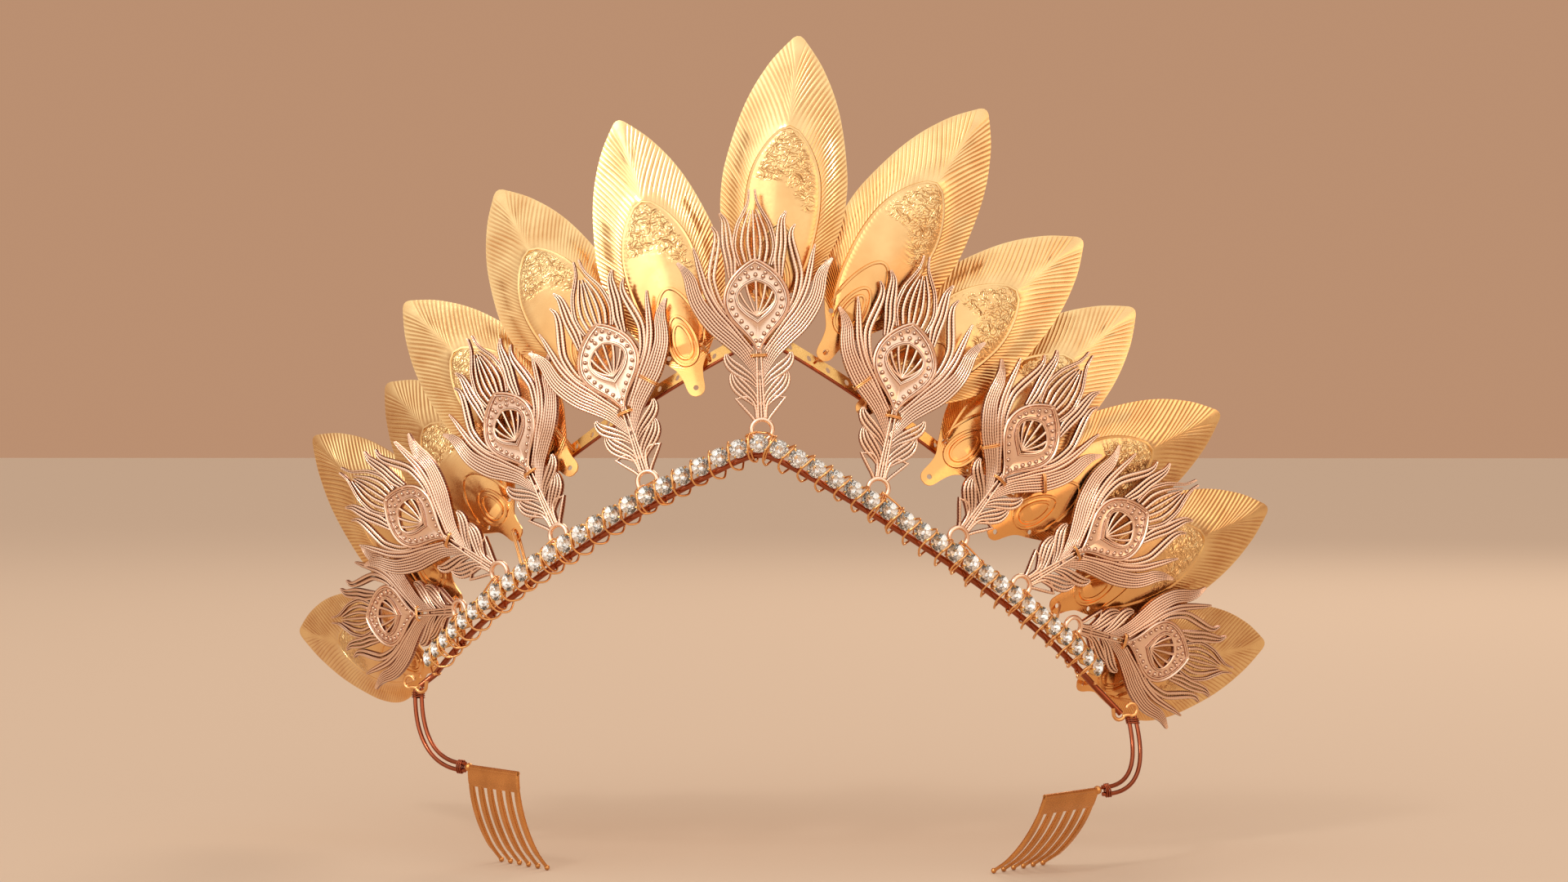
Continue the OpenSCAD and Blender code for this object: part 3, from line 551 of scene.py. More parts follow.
def plate_axes(angle, lean, tilt, turn):
    """Columns: where a plate's right, back and up point once it is turned, tilted, leant and set on the hoop."""
    a, l, t, s = np.radians([angle, lean, -tilt, turn])
    about_z = lambda q: np.array([[np.cos(q), -np.sin(q), 0], [np.sin(q), np.cos(q), 0], [0, 0, 1]])
    about_y = np.array([[np.cos(l), 0, np.sin(l)], [0, 1, 0], [-np.sin(l), 0, np.cos(l)]])
    about_x = np.array([[1, 0, 0], [0, np.cos(t), -np.sin(t)], [0, np.sin(t), np.cos(t)]])
    return about_z(a) @ about_y @ about_x @ about_z(s)


def set_plate(points, row, radius, height):
    """Moves points drawn as (right, back, up) to their plate's place on the crown."""
    angle = math.radians(row[1])
    foot = np.array([radius * math.sin(angle), HOOP_R - radius * math.cos(angle), height]) + CROWN_SHIFT
    return points @ plate_axes(row[1], *row[3:6]).T + foot


# Rose-gold casting alloy, tumbled bright: pinkish champagne on the beads, with dark brown painted shade, and some
# patina, in the recesses.
ROSE_GOLD = metal_finish("rose_gold_casting", "#FFDEC6", "#742810", roughness=0.2, grain=0.25, bump=0.3,
                         drift_share=0.06, recess_shade_share=1.2)
flat_feather = [(points[:, [0, 2, 1]] * (1, -1, 1), quads, caps, shade)
                for points, quads, caps, shade in feather_parts()]
feather_heights = [float(band_height(np.float64(math.radians(row[1]) * HOOP_R))) + row[2] for row in FEATHERS]
for row, height in zip(FEATHERS, feather_heights):
    parts = [(set_plate(points, row, FEATHER_R, height), *rest) for points, *rest in flat_feather]
    feather = build_piece("cast_feather_" + row[0], parts, ROSE_GOLD, 62)
    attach(feather, "root")
    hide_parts("feather_" + row[0])

# ---- Ring ties ----
# Soft gilt wire. It runs twice through each feather's ring, down before the chain in the grooves at both sides of
# a crystal, and back up behind the frame wire. A short winding also holds the strands at each feather's neck.
TIE_D, FINE_WIRE_D = 0.42, 0.34
# One turn before and below the chain: height across the band, radius from the hoop's axis
TIE_TURN = np.array([[2.0, 84.8], [1.2, 85.85], [0, 86.08], [-1.2, 85.9], [-2.3, 85.2], [-2.95, 84.3],
                     [-2.9, 83.2], [-1.9, 82.4], [-0.2, 82.1]])
# Through the ring, before its bar and behind it: distance from its centre towards the chain, depth to the back
TIE_AT_RING = ((1.1, 0), (1.5, -0.85), (1.9, 0.9))
NECK_REACH, NECK_HEIGHT = 0.85, 14.6
# Fronds with a wire of their own: feather, side, x and height of the loop's middle; and how the frond runs there
FROND_WIRES = [("left_1", 1, 6.8, 19.1), ("right_1", -1, 7.6, 19.8), ("right_2", -1, 6.2, 18.5),
               ("right_2", 1, 8.4, 20.6)]
FROND_WAY, FROND_REACH = (0.735, 0.678), 1.2
tie_parts, neck_parts = [], []
for row, height in zip(FEATHERS, feather_heights):
    arc = math.radians(row[1]) * HOOP_R
    ring_centre, back = on_hoop(arc, FEATHER_R, row[2]), plate_axes(row[1], *row[3:6])[:, 1]
    knots = []
    for groove in sorted(link_arcs[np.argsort(np.abs(link_arcs - arc))[:2]]):
        _, up, out = band_axes(np.full(len(TIE_TURN), groove))
        turns = on_hoop(np.full(len(TIE_TURN), groove), HOOP_R, 0) + TIE_TURN[:, :1] * up
        turns = turns + (TIE_TURN[:, 1:] - HOOP_R) * out
        way = turns[0] - ring_centre
        way = unit(way - way @ back * back)
        through, before, behind = (ring_centre + reach * way + depth * back for reach, depth in TIE_AT_RING)
        knots += [through, before, *turns, behind]
    path = smooth_path(np.array(knots) + CROWN_SHIFT, 4)
    tie_parts.append(carry(path, round_profile(TIE_D, 7), path - path.mean(0)))
    neck = coil((-NECK_REACH, 0.1, NECK_HEIGHT), (NECK_REACH, 0.1, NECK_HEIGHT), (0, 1, 0),
                radius=0.72, turns=2, spread=0.6)
    neck_parts.append(carry(set_plate(neck, row, FEATHER_R, height), round_profile(FINE_WIRE_D, 6),
                            plate_axes(row[1], *row[3:6])[:, 2]))
frond_parts = []
for name, side, x, up in FROND_WIRES:
    k = [row[0] for row in FEATHERS].index(name)
    along = np.array([side * FROND_WAY[0], 0, FROND_WAY[1]])
    across = FROND_REACH * np.cross(along, (0, 1, 0))
    loop = coil((side * x, 0.05, up) - across, (side * x, 0.05, up) + across, (0, 1, 0),
                radius=0.8, turns=2, spread=0.7)
    frond_parts.append(carry(set_plate(loop, FEATHERS[k], FEATHER_R, feather_heights[k]),
                             round_profile(FINE_WIRE_D, 6), plate_axes(FEATHERS[k][1], *FEATHERS[k][3:6]) @ along))
for name, parts in (("ring_tie_wires", tie_parts), ("neck_wires", neck_parts), ("frond_wires", frond_parts)):
    wires = build_piece(name, parts, GOLD_WIRE, 80)
    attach(wires, "root")
    if name == "ring_tie_wires":
        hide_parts("ring_ties")

# ---- Leaves ----
# Thirteen leaves stamped from thin brass sheet and gilt: ribbed margins, a raised inner panel with a
# hammered top, and embossed arches near the tab. Small holes in the tab and shoulders take the tie wire.
LEAF_R, LEAF_LENGTH, LEAF_T, LEAF_FOLD, MIDRIB_ROUND = 80.6, 61, 0.36, 9.0, 1.5
PANEL_RISE, STEP_W, RIDGE_D, DENT_DEPTH = 0.45, 0.5, 0.8, 0.1
RIB_PITCH, RIB_DEPTH = 1.05, 0.085  # drawn coarser than the real ribs, 0.5 to 0.9 apart on some leaves
LEAVES = [  # name, hoop angle, height of the tab end from the comb tips, lean, tilt, turn
    ("centre", 1.2, 107.4, 5.5, 4.5, -0.5), ("left_1", -8.8, 96.4, -19.5, 12.5, 8.5),
    ("left_2", -22.5, 96, -40, 19, 19), ("left_3", -28, 81, -54, 7.5, 16), ("left_4", -38.5, 67.7, -58, 9, 16.5),
    ("left_5", -53.1, 53.2, -54.5, -9.5, 11.5), ("left_6", -61.2, 39.6, -86, -11, -13.5),
    ("right_1", 8.5, 103.5, 34, 5.5, 2.5), ("right_2", 13.8, 93, 54, 8.5, -8.5),
    ("right_3", 23.5, 79.3, 54.5, 4.5, -15.5), ("right_4", 34.2, 68.4, 66, -5, 1),
    ("right_5", 46.3, 53.1, 70.5, -11.5, -3), ("right_6", 52.7, 37, 84.5, -8, 9)]
# Outline: height, half width
LEAF_EDGE = np.array([[0, 0.5], [0.3, 1.05], [0.9, 1.55], [1.8, 1.8], [3.5, 2], [6, 2.7], [8.5, 4.5], [10.5, 5.9],
                      [13.5, 7.9], [17, 9.6], [20.5, 11.1], [25, 12.2], [29, 12.5], [33, 12.4], [37, 11.8],
                      [40, 11.2], [43, 10.5], [47, 9.3], [50, 8.1], [53, 6.6], [56, 4.8], [58.5, 2.85],
                      [60, 1.55], [60.6, 1.0], [61, 0.35]])
# Raised panel: height, half width
PANEL_EDGE = np.array([[0, 0.1], [7, 1.4], [8.5, 2.4], [10.5, 3.6], [13.5, 4.8], [17, 5.8], [20.5, 6.4], [25, 6.9],
                       [29, 6.9], [33, 6.4], [37, 5], [40, 3.2], [42, 1.4], [43, 0.4], [61, 0.1]])
PANEL_FOOT, PANEL_TOP, BORDER_FOOT, BORDER_TOP = 9, 43, 10.3, 42.6
# Lower limit of the hammering: height left of the midrib, height right of it, fall to the right; and its top
HAMMER_LEFT, HAMMER_RIGHT, HAMMER_FALL, HAMMER_TOP = 31.5, 32.5, 1.3, 42
# How far a rib climbs from the panel, or the midrib, to the leaf's edge: height where it starts, climb
RIB_CLIMB = np.array([[0, 0], [4, 0.8], [8, 2.4], [15, 5.6], [25, 7.2], [33, 8.2], [38, 9.8], [43, 11], [50, 8.6],
                      [54, 6.2], [57, 3.6], [59.5, 1.4], [61, 0]])
# Embossed arches near the tab, pointed at the top: height of the middle, half width, half height, and how far
# each leg comes round from the top in degrees
ARCHES = [(11.6, 1.7, 3.6, 180), (11.8, 2.7, 5.2, 180), (13.5, 4.5, 9.6, 112)]
HOLES = [(0, 1.7, 0.55), (-3.6, 9.3, 0.5), (3.6, 9.3, 0.5)]  # x, height, radius


def table_curve(table, x):
    """Smooth curve through a table of (x, y) rows: cubic Hermite spans with central-difference slopes."""
    knots, values = table[:, 0], table[:, 1]
    slopes = np.gradient(values, knots)
    i = np.clip(np.searchsorted(knots, x) - 1, 0, len(knots) - 2)
    h = knots[i + 1] - knots[i]
    t = np.clip((x - knots[i]) / h, 0, 1)
    return ((2 * t**3 - 3 * t**2 + 1) * values[i] + (t**3 - 2 * t**2 + t) * h * slopes[i]
            + (3 * t**2 - 2 * t**3) * values[i + 1] + (t**3 - t**2) * h * slopes[i + 1])


def sheet_depth(x, z):
    """Depth of the sheet's front at (x, z), positive to the back: both halves bent back from a rounded midrib,
    and the panel pressed forward with a soft step and a low dome."""
    bent = math.tan(math.radians(LEAF_FOLD)) * (np.sqrt(x * x + MIDRIB_ROUND**2) - MIDRIB_ROUND)
    panel = table_curve(PANEL_EDGE, z)
    inside = np.clip((panel + STEP_W / 2 - np.abs(x)) / STEP_W, 0, 1)
    inside = (inside * inside * (3 - 2 * inside) * np.clip((z - PANEL_FOOT) / 2, 0, 1)
              * np.clip((PANEL_TOP - z) / 1.5, 0, 1))
    return bent - inside * PANEL_RISE * (0.75 + 0.25 * np.clip(1 - (x / np.maximum(panel, 0.5))**2, 0, 1))


def hammered_zone(x, z):
    """1 where the panel is hammered: above a level line left of the midrib, and above a line that falls to the
    right of it, as far as the panel's border."""
    lowest = np.where(x < 0, HAMMER_LEFT, HAMMER_RIGHT - HAMMER_FALL * x)
    border = table_curve(PANEL_EDGE, z) - 0.45 - np.abs(x)
    return np.clip((z - lowest) / 0.8, 0, 1) * np.clip(border / 0.4, 0, 1) * np.clip((HAMMER_TOP - z) / 0.6, 0, 1)


def leaf_sheet():
    """Front and back grids of one leaf. Rows start level across the panel and then climb along the ribs to
    the edge, four rows to a rib, so that a cosine of the row number is the ribs' relief."""
    start = np.linspace(0, LEAF_LENGTH, 2000)
    edge_z = start + np.interp(start, *RIB_CLIMB.T)
    edge_x = np.maximum(table_curve(LEAF_EDGE, edge_z), 0.3)
    walked = np.concatenate([[0], np.cumsum(np.hypot(np.diff(edge_x), np.diff(edge_z)))])
    ribs = round(walked[-1] / RIB_PITCH)
    rows = np.arange(4 * ribs + 1)
    s = np.interp(rows / (4 * ribs) * walked[-1], walked, start)[:, None]
    climb = np.interp(s, *RIB_CLIMB.T)
    panel = np.maximum(table_curve(PANEL_EDGE, s), 0.1)
    edge = np.maximum(table_curve(LEAF_EDGE, s + climb), 0.3)
    inner = np.array([0, 0.25, 0.5, 0.75, 0.97])[None]
    outer = np.array([0.09, 0.3, 0.55, 0.8, 0.96, 1.0])[None]
    x = np.concatenate([panel * inner, panel + (edge - panel) * outer], 1)
    z = np.concatenate([s + 0 * inner, s + climb * outer**0.8], 1)
    fade = np.concatenate([0 * inner[0], np.array([0.3, 1, 1, 1, 0.6, 0])])[None]
    fade = fade * np.clip((s - 5) / 4, 0, 1) * np.clip((55 - s) / 3, 0, 1)
    wave = np.cos(np.pi / 2 * rows)[:, None] * fade
    x, z, wave = (np.concatenate([sign * grid[:, :0:-1], grid], 1) for sign, grid in ((-1, x), (1, z), (1, wave)))
    dents = np.sin(3.9 * x + 1.7 * np.sin(2.3 * z)) * np.sin(3.1 * z + 1.9 * np.sin(2.9 * x))
    y = sheet_depth(x, z) - RIB_DEPTH * wave + DENT_DEPTH * hammered_zone(x, z) * dents
    # One ring round the sheet for each row, front from left to right and back again behind
    rings = np.concatenate([np.stack([x, y, z], -1), np.stack([x, y + LEAF_T, z], -1)[:, ::-1]], 1)
    # Painted shade in the grooves between the ribs, on front and back
    groove = np.clip(-wave, 0, 1)
    return skin(rings, False, np.concatenate([groove, groove[:, ::-1]], 1))


def punched(part, holes):
    """The closed part with round holes cut through it along y, worked out by Blender in millimetres."""
    shapes = []
    for name, (points, quads, caps, shade) in (("sheet", part), ("punch", joined(holes))):
        mesh = bpy.data.meshes.new(name)
        mesh.from_pydata(points.tolist(), [], quads.tolist() + [c.tolist() for c in caps])
        mesh.attributes.new("recess_shade", "FLOAT", "POINT").data.foreach_set("value", shade.astype(np.float32))
        shapes.append(bpy.data.objects.new(name, mesh))
        bpy.context.scene.collection.objects.link(shapes[-1])
    cut = shapes[0].modifiers.new("holes", "BOOLEAN")
    cut.operation, cut.solver, cut.object = "DIFFERENCE", "EXACT", shapes[1]
    mesh = bpy.data.meshes.new_from_object(shapes[0].evaluated_get(bpy.context.evaluated_depsgraph_get()))
    points, shade = np.empty(3 * len(mesh.vertices)), np.zeros(len(mesh.vertices), np.float32)
    mesh.vertices.foreach_get("co", points)
    mesh.attributes["recess_shade"].data.foreach_get("value", shade)
    faces = [np.array(p.vertices) for p in mesh.polygons]
    for shape in shapes:
        bpy.data.objects.remove(shape)
    return points.reshape(-1, 3), np.empty((0, 4), int), faces, np.clip(shade, 0, 1)


def joined(parts):
    """Several closed parts as one."""
    offsets = np.cumsum([0] + [len(p[0]) for p in parts])
    return (np.concatenate([p[0] for p in parts]), np.concatenate([p[1] + o for p, o in zip(parts, offsets)]),
            [c + o for p, o in zip(parts, offsets) for c in p[2]], np.concatenate([p[3] for p in parts]))


def embossed_arch(middle, half_w, half_h, leg):
    """Low half-round ridge along a pointed oval on the leaf's front, from one leg over the top to the other:
    x is half_w sin t drawn in towards the top, z is half_h cos t. Legs that don't meet thin out to nothing."""
    closed = leg == 180
    t = np.radians(np.linspace(-leg, leg, 49))[:48 if closed else 49]
    thinned = 1.0 if closed else np.clip((1 - np.abs(t) / np.radians(leg)) / 0.2, 0.1, 1)[:, None, None]
    x = half_w * np.sin(t) * (1 - 0.18 * np.cos(t))
    z = middle + half_h * np.cos(t)
    x = np.clip(x, -table_curve(LEAF_EDGE, z) + 0.6, table_curve(LEAF_EDGE, z) - 0.6)
    path = np.stack([x, sheet_depth(x, z) + 0.08, z], -1)
    return carry(path, thinned * round_profile(RIDGE_D, 6), (0, 1, 0), closed)


def panel_border():
    """Low half-round ridge round the raised panel: up its left side, over the point and down the right. It
    thins out towards both feet."""
    z = np.concatenate([np.linspace(BORDER_FOOT, BORDER_TOP, 50), np.linspace(BORDER_TOP, BORDER_FOOT, 50)[1:]])
    side = np.sign(np.arange(len(z)) - 49)
    x = side * (table_curve(PANEL_EDGE, z) + 0.3)
    path = np.stack([x, sheet_depth(x, z) + 0.05, z], -1)
    return carry(path, np.clip((z - 10) / 3, 0.1, 1)[:, None, None] * round_profile(RIDGE_D, 6), (0, 1, 0))


def stamped_finish():
    """Gilt brass sheet, stamped and polished. On top of the metal: worm-shaped hammer marks about 0.8 mm apart
    on the panel's top, which are the contour lines of a soft noise, and an orange blush that grows towards
    the tab. Both follow the flat leaf's own millimetres, kept in an attribute."""
    material = metal_finish("stamped_gilt_brass", "#F6D59C", "#B86A26", roughness=0.2, grain=0.6, bump=0.15,
                            drift_share=0.3, recess_shade_share=0.55)
    tree = material.node_tree
    flat = add_node(tree, "ShaderNodeAttribute", attribute_name="stamping").outputs["Vector"]
    marks = add_node(tree, "ShaderNodeTexNoise", {"Vector": flat, "Scale": 0.55, "Detail": 1.0, "Distortion": 0.6})
    many = add_node(tree, "ShaderNodeMath", {0: marks.outputs[0], 1: 9.0}, operation="MULTIPLY")
    lines = add_node(tree, "ShaderNodeMath", {0: many.outputs[0], 1: 0.5}, operation="PINGPONG")
    zone = add_node(tree, "ShaderNodeAttribute", attribute_name="hammered").outputs["Fac"]
    height = add_node(tree, "ShaderNodeMath", {0: lines.outputs[0], 1: zone}, operation="MULTIPLY")
    relief = add_node(tree, "ShaderNodeBump", {"Height": height.outputs[0], "Strength": 0.8, "Distance": 0.25 * MM,
                                               "Normal": tree.nodes["relief"].outputs[0]})
    up = add_node(tree, "ShaderNodeSeparateXYZ", {0: flat}).outputs["Z"]
    tab_nearness = add_node(tree, "ShaderNodeMapRange", {0: up, 1: 40.0, 2: 8.0, 3: 0.0, 4: 0.7})
    blush = add_node(tree, "ShaderNodeMix", {"Factor": tab_nearness.outputs[0], 6: tree.nodes["tint"].outputs[2],
                                             7: linear("#F2A858")}, data_type="RGBA")
    shader = tree.nodes["Principled BSDF"]
    tree.links.new(blush.outputs[2], shader.inputs["Base Color"])
    tree.links.new(relief.outputs[0], shader.inputs["Normal"])
    return material


STAMPED_GILT = stamped_finish()
punches = [carry([(x, -3, z), (x, 5, z)], round_profile(2 * r, 14), (0, 0, 1)) for x, z, r in HOLES]
leaf_parts = [punched(leaf_sheet(), punches), panel_border()] + [embossed_arch(*arch) for arch in ARCHES]
flat_points = np.concatenate([part[0] for part in leaf_parts])
hammered = hammered_zone(flat_points[:, 0], flat_points[:, 2])
for row in LEAVES:
    parts = [(set_plate(points, row, LEAF_R, row[2]), *rest) for points, *rest in leaf_parts]
    leaf = build_piece("stamped_leaf_" + row[0], parts, STAMPED_GILT, 50)
    place = leaf.data.attributes.new("stamping", "FLOAT_VECTOR", "POINT")
    place.data.foreach_set("vector", flat_points.astype(np.float32).ravel())
    leaf.data.attributes.new("hammered", "FLOAT", "POINT").data.foreach_set("value", hammered.astype(np.float32))
    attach(leaf, "root")
    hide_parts("leaf_" + row[0])

# ---- Support strip ----
# A narrow pierced brass strip, 2.4 mm high, bent to the hoop behind the leaves. A copper wire runs along its
# lower edge, and the upper leaves are tied to both.
STRIP_R, STRIP_LIFT, STRIP_W, STRIP_T, STRIP_END = 76.3, 21.5, 2.4, 0.5, 34
STRIP_CELLS, STRIP_HOLE_R, STRIP_WIRE_D = 24, 0.5, 0.7


def pierced_strip():
    """Cells side by side, each a rectangle with a round hole. Twelve points round the rectangle are paired with
    twelve round the hole, on the strip's back and front, and the points that cells share are merged."""
    half = math.radians(STRIP_END) * HOOP_R / STRIP_CELLS
    corners = np.array([(1, 0), (1, 1), (0.5, 1), (0, 1), (-0.5, 1), (-1, 1), (-1, 0), (-1, -1), (-0.5, -1),
                        (0, -1), (0.5, -1), (1, -1)])
    turn = np.arctan2(corners[:, 1], corners[:, 0])
    flat = np.concatenate([corners * (half, STRIP_W / 2),
                           STRIP_HOLE_R * np.stack([np.cos(turn), np.sin(turn)], -1)])
    middles = (2 * np.arange(STRIP_CELLS) + 1 - STRIP_CELLS) * half
    across = middles[:, None] + flat[:, 0]
    points = np.stack([on_hoop(across, STRIP_R + side * STRIP_T / 2, STRIP_LIFT + flat[:, 1])
                       for side in (-1, 1)], 1)
    k = np.arange(12)
    k1 = (k + 1) % 12
    back, front, inner = 0, 24, 12
    faces = [np.stack([front + k, front + k1, front + inner + k1, front + inner + k], -1),
             np.stack([back + inner + k, back + inner + k1, back + k1, back + k], -1),
             np.stack([front + inner + k, front + inner + k1, back + inner + k1, back + inner + k], -1)]
    walls = np.stack([front + k1, front + k, back + k, back + k1], -1)
    faces.append(walls[[1, 2, 3, 4, 7, 8, 9, 10]])
    every = (np.concatenate(faces)[None] + 48 * np.arange(STRIP_CELLS)[:, None, None]).reshape(-1, 4)
    every = np.concatenate([every, walls[[5, 6]], walls[[0, 11]] + 48 * (STRIP_CELLS - 1)])
    merged, where = np.unique(points.reshape(-1, 3).round(5), axis=0, return_inverse=True)
    return merged, where.reshape(-1)[every], [], np.zeros(len(merged))


strip_part = pierced_strip()
strip = build_piece("pierced_strip", [(strip_part[0] + CROWN_SHIFT, *strip_part[1:])], GILT_BRASS, 40)
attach(strip, "root")
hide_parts("support_strip")
strip_arcs = np.radians(np.linspace(-STRIP_END, STRIP_END, 61)) * HOOP_R
edge_run = on_hoop(strip_arcs, STRIP_R + STRIP_WIRE_D / 2, STRIP_LIFT - STRIP_W / 2 - 0.3) + CROWN_SHIFT
strip_wire = build_piece("strip_wire", [carry(edge_run, round_profile(STRIP_WIRE_D, 8), (0, 0, 1))], COPPER_WIRE)
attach(strip_wire, "root")

# ---- Leaf ties ----
# Thin gilt wire through a hole of each leaf and round the nearest carrier: the strip for the upper leaves, the
# frame wire for the lower ones.
LEAF_TIE_D = 0.38
strip_run = on_hoop(strip_arcs, STRIP_R, STRIP_LIFT) + CROWN_SHIFT
leaf_tie_parts = []
for row in LEAVES:
    spots = set_plate(np.array([(x, 0.2, z) for x, z, r in HOLES]), row, LEAF_R, row[2])
    carriers = np.concatenate([strip_run, wire_path])
    distance = np.linalg.norm(spots[:, None] - carriers, axis=-1)
    hole, carrier = np.unravel_index(np.argmin(distance), distance.shape)
    side = plate_axes(row[1], *row[3:6])[:, 1]
    path = coil(spots[hole], carriers[carrier], side, radius=0.95, turns=2, spread=0.7)
    leaf_tie_parts.append(carry(path, round_profile(LEAF_TIE_D, 6),
                                np.cross(side, carriers[carrier] - spots[hole])))
leaf_ties = build_piece("leaf_ties", leaf_tie_parts, GOLD_WIRE, 80)
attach(leaf_ties, "root")

# ---- Hooks ----
# Each end of the frame wire is hooked over by a bent gilt wire, 0.8 mm thick: one eye for the band and one,
# lower, for the wires that lead to the comb.
HOOK_D, HOOK_FORWARD, HOOK_TURN = 0.8, 1.5, 25


def eye_run(centre, r, first, last, steps):
    """Points (x, z) on a circle from the first to the last angle."""
    turn = np.radians(np.linspace(first, last, steps))
    return np.stack([centre[0] + r * np.cos(turn), centre[1] + r * np.sin(turn)], -1)


hook_line = np.concatenate([eye_run((-1.7, 0.9), 1.25, 20, 300, 24), eye_run((1.2, 0.2), 1.3, 200, 350, 14),
                            [(2.6, 1.3)]])
for name, mirror, turn, place in (("hook_left", 1, -HOOK_TURN, LEFT_HOOK),
                                  ("hook_right", -1, HOOK_TURN, RIGHT_HOOK)):
    drawn = np.stack([mirror * hook_line[:, 0], np.full(len(hook_line), -HOOK_FORWARD), hook_line[:, 1]], -1)
    c, s = math.cos(math.radians(turn)), math.sin(math.radians(turn))
    hook_path = drawn @ np.array([[c, -s, 0], [s, c, 0], [0, 0, 1]]).T + place + CROWN_SHIFT
    hook = build_piece("bent_" + name, [carry(smooth_path(hook_path, 2), round_profile(HOOK_D, 10), (s, -c, 0))],
                       GOLD_WIRE, 60)
    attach(hook, "root")
    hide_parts(name)

# ---- End wires ----
# Two copper-coloured wires on each side, 0.9 mm thick, bent by hand from the hook down to the comb's outer
# corner. A thin wire binds them together at both ends.
END_WIRE_D, WRAP_LIFT = 0.9, 0.18
END_WRAPS = ((0.03, 0.08, 3), (0.93, 0.98, 3))  # start and end as shares of the wires' length, turns
END_WIRES = {
    "left": [[(-74.3, 39.6, 35.6), (-74.6, 38.2, 26.5), (-71, 36, 18.9), (-62.3, 29.4, 19.4)],
             [(-72.9, 39, 35.6), (-72.9, 37.8, 27), (-70.2, 35.6, 20.4), (-62.2, 29.3, 20.8)]],
    "right": [[(75.8, 37.6, 30.8), (78, 35.8, 22.5), (77.4, 30.5, 15), (68.6, 25.7, 15.6)],
              [(74.4, 37.1, 30.8), (76.2, 35.5, 23), (75.8, 30.4, 16.6), (68.5, 25.6, 17)]]}


def wrap_pair(first, second, start, end, turns):
    """A thin wire's path wound round two curves between two shares of their length: an ellipse that takes both
    in, with one axis along the line between them."""
    u = np.linspace(start, end, 16 * turns + 1)
    a, b = bezier(first, u), bezier(second, u)
    middle, apart = (a + b) / 2, b - a
    gap = np.linalg.norm(apart, axis=1, keepdims=True)
    across = apart / gap
    over = unit(np.cross(np.gradient(middle, axis=0), across))
    t = np.linspace(0, 2 * np.pi * turns, len(u))[:, None]
    clear = END_WIRE_D / 2 + WRAP_LIFT
    return middle + (gap / 2 + clear) * np.cos(t) * across + clear * np.sin(t) * over


for side, curves in END_WIRES.items():
    u = np.linspace(0, 1, 41)
    parts = [carry(bezier(curve, u) + CROWN_SHIFT, round_profile(END_WIRE_D, 12), (0, 1, 0)) for curve in curves]
    wires = build_piece("copper_end_wires_" + side, parts, COPPER_WIRE)
    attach(wires, "root")
    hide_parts("end_wires_" + side)
    wraps = [wrap_pair(*curves, start, end, turns) + CROWN_SHIFT for start, end, turns in END_WRAPS]
    parts = [carry(path, round_profile(FINE_WIRE_D, 6), path - path.mean(0)) for path in wraps]
    bindings = build_piece("end_bindings_" + side, parts, COPPER_WIRE, 80)
    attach(bindings, "root")

# ---- Combs ----
# A small comb on each side, cut and bent from plain rolled brass sheet: a plate with a rolled top edge and six
# tines. Each tine thins below a slight bend and ends in a small ball. The end wires join a knob at the corner.
COMB_W, COMB_BEND_R, COMB_PLATE, COMB_TINES, TINE_W = 17.5, 31.0, 4.2, 6, 1.3
KNOB_D, TIP_D = 1.8, 1.15
ROLL_R, ROLL_DROP = 0.5, 0.35  # rolled edge: radius, and how far its middle is below the plate's top
PLATE_HALF_T = np.array([0.3, 0.45, 0.45, 0.45, 0.45, 0.3])  # from the top down
TINE_ROOT = 0.8  # share of the plate's height at which the tines begin
# Place, turn, lean, and the side that faces outwards
COMBS = {"left": ((-55.5, 22.2, 20.6), -47.5, 0, -1), "right": ((62, 18.3, 16.9), 50, 19, 1)}
# A tine from plate to tip: share of its length, half width, half thickness, step to the outside of the curve
TINE_FORM = np.array([[0, 0.62, 0.36, 0], [0.12, 0.64, 0.42, 0], [0.3, 0.62, 0.45, 0], [0.6, 0.56, 0.42, 0],
                      [0.78, 0.5, 0.36, 0], [0.82, 0.42, 0.32, -0.1], [0.93, 0.36, 0.3, -0.22],
                      [1, 0.34, 0.3, -0.26]])
# Section of a bar: side, how far its corner is cut in millimetres, share of the half thickness
BAR_SECTION = np.array([(-1, 0, -0.5), (-1, 0.13, -1), (1, 0.13, -1), (1, 0, -0.5), (1, 0, 0.5), (1, 0.13, 1),
                        (-1, 0.13, 1), (-1, 0, 0.5)])


def comb_point(x, r, turn):
    """Point of a comb before it is placed: x along it, at radius r from the axis of its bend, this far round."""
    x, r, turn = np.broadcast_arrays(x, r, turn)
    return np.stack([x, COMB_BEND_R - r * np.cos(turn), -r * np.sin(turn)], -1)


def bent_bar(x, half_w, half_t, step, turn):
    """A flat bar bent round the comb's axis: an eight-sided section with its own half width and thickness at
    each angle."""
    section_x = x + BAR_SECTION[:, 0] * (half_w[:, None] - BAR_SECTION[:, 1])
    section_r = COMB_BEND_R + step[:, None] + BAR_SECTION[:, 2] * half_t[:, None]
    return skin(comb_point(section_x, section_r, turn[:, None]))


def ball(centre, d, squash=1.0):
    """Sphere of seven rings of ten points, flattened along z by squash."""
    rise, turn = np.radians(np.linspace(-86, 86, 7))[:, None], 2 * np.pi * np.arange(10) / 10
    return skin(np.asarray(centre) + d / 2 * np.stack([np.cos(rise) * np.cos(turn), np.cos(rise) * np.sin(turn),
                                                       squash * np.sin(rise) + 0 * turn], -1))


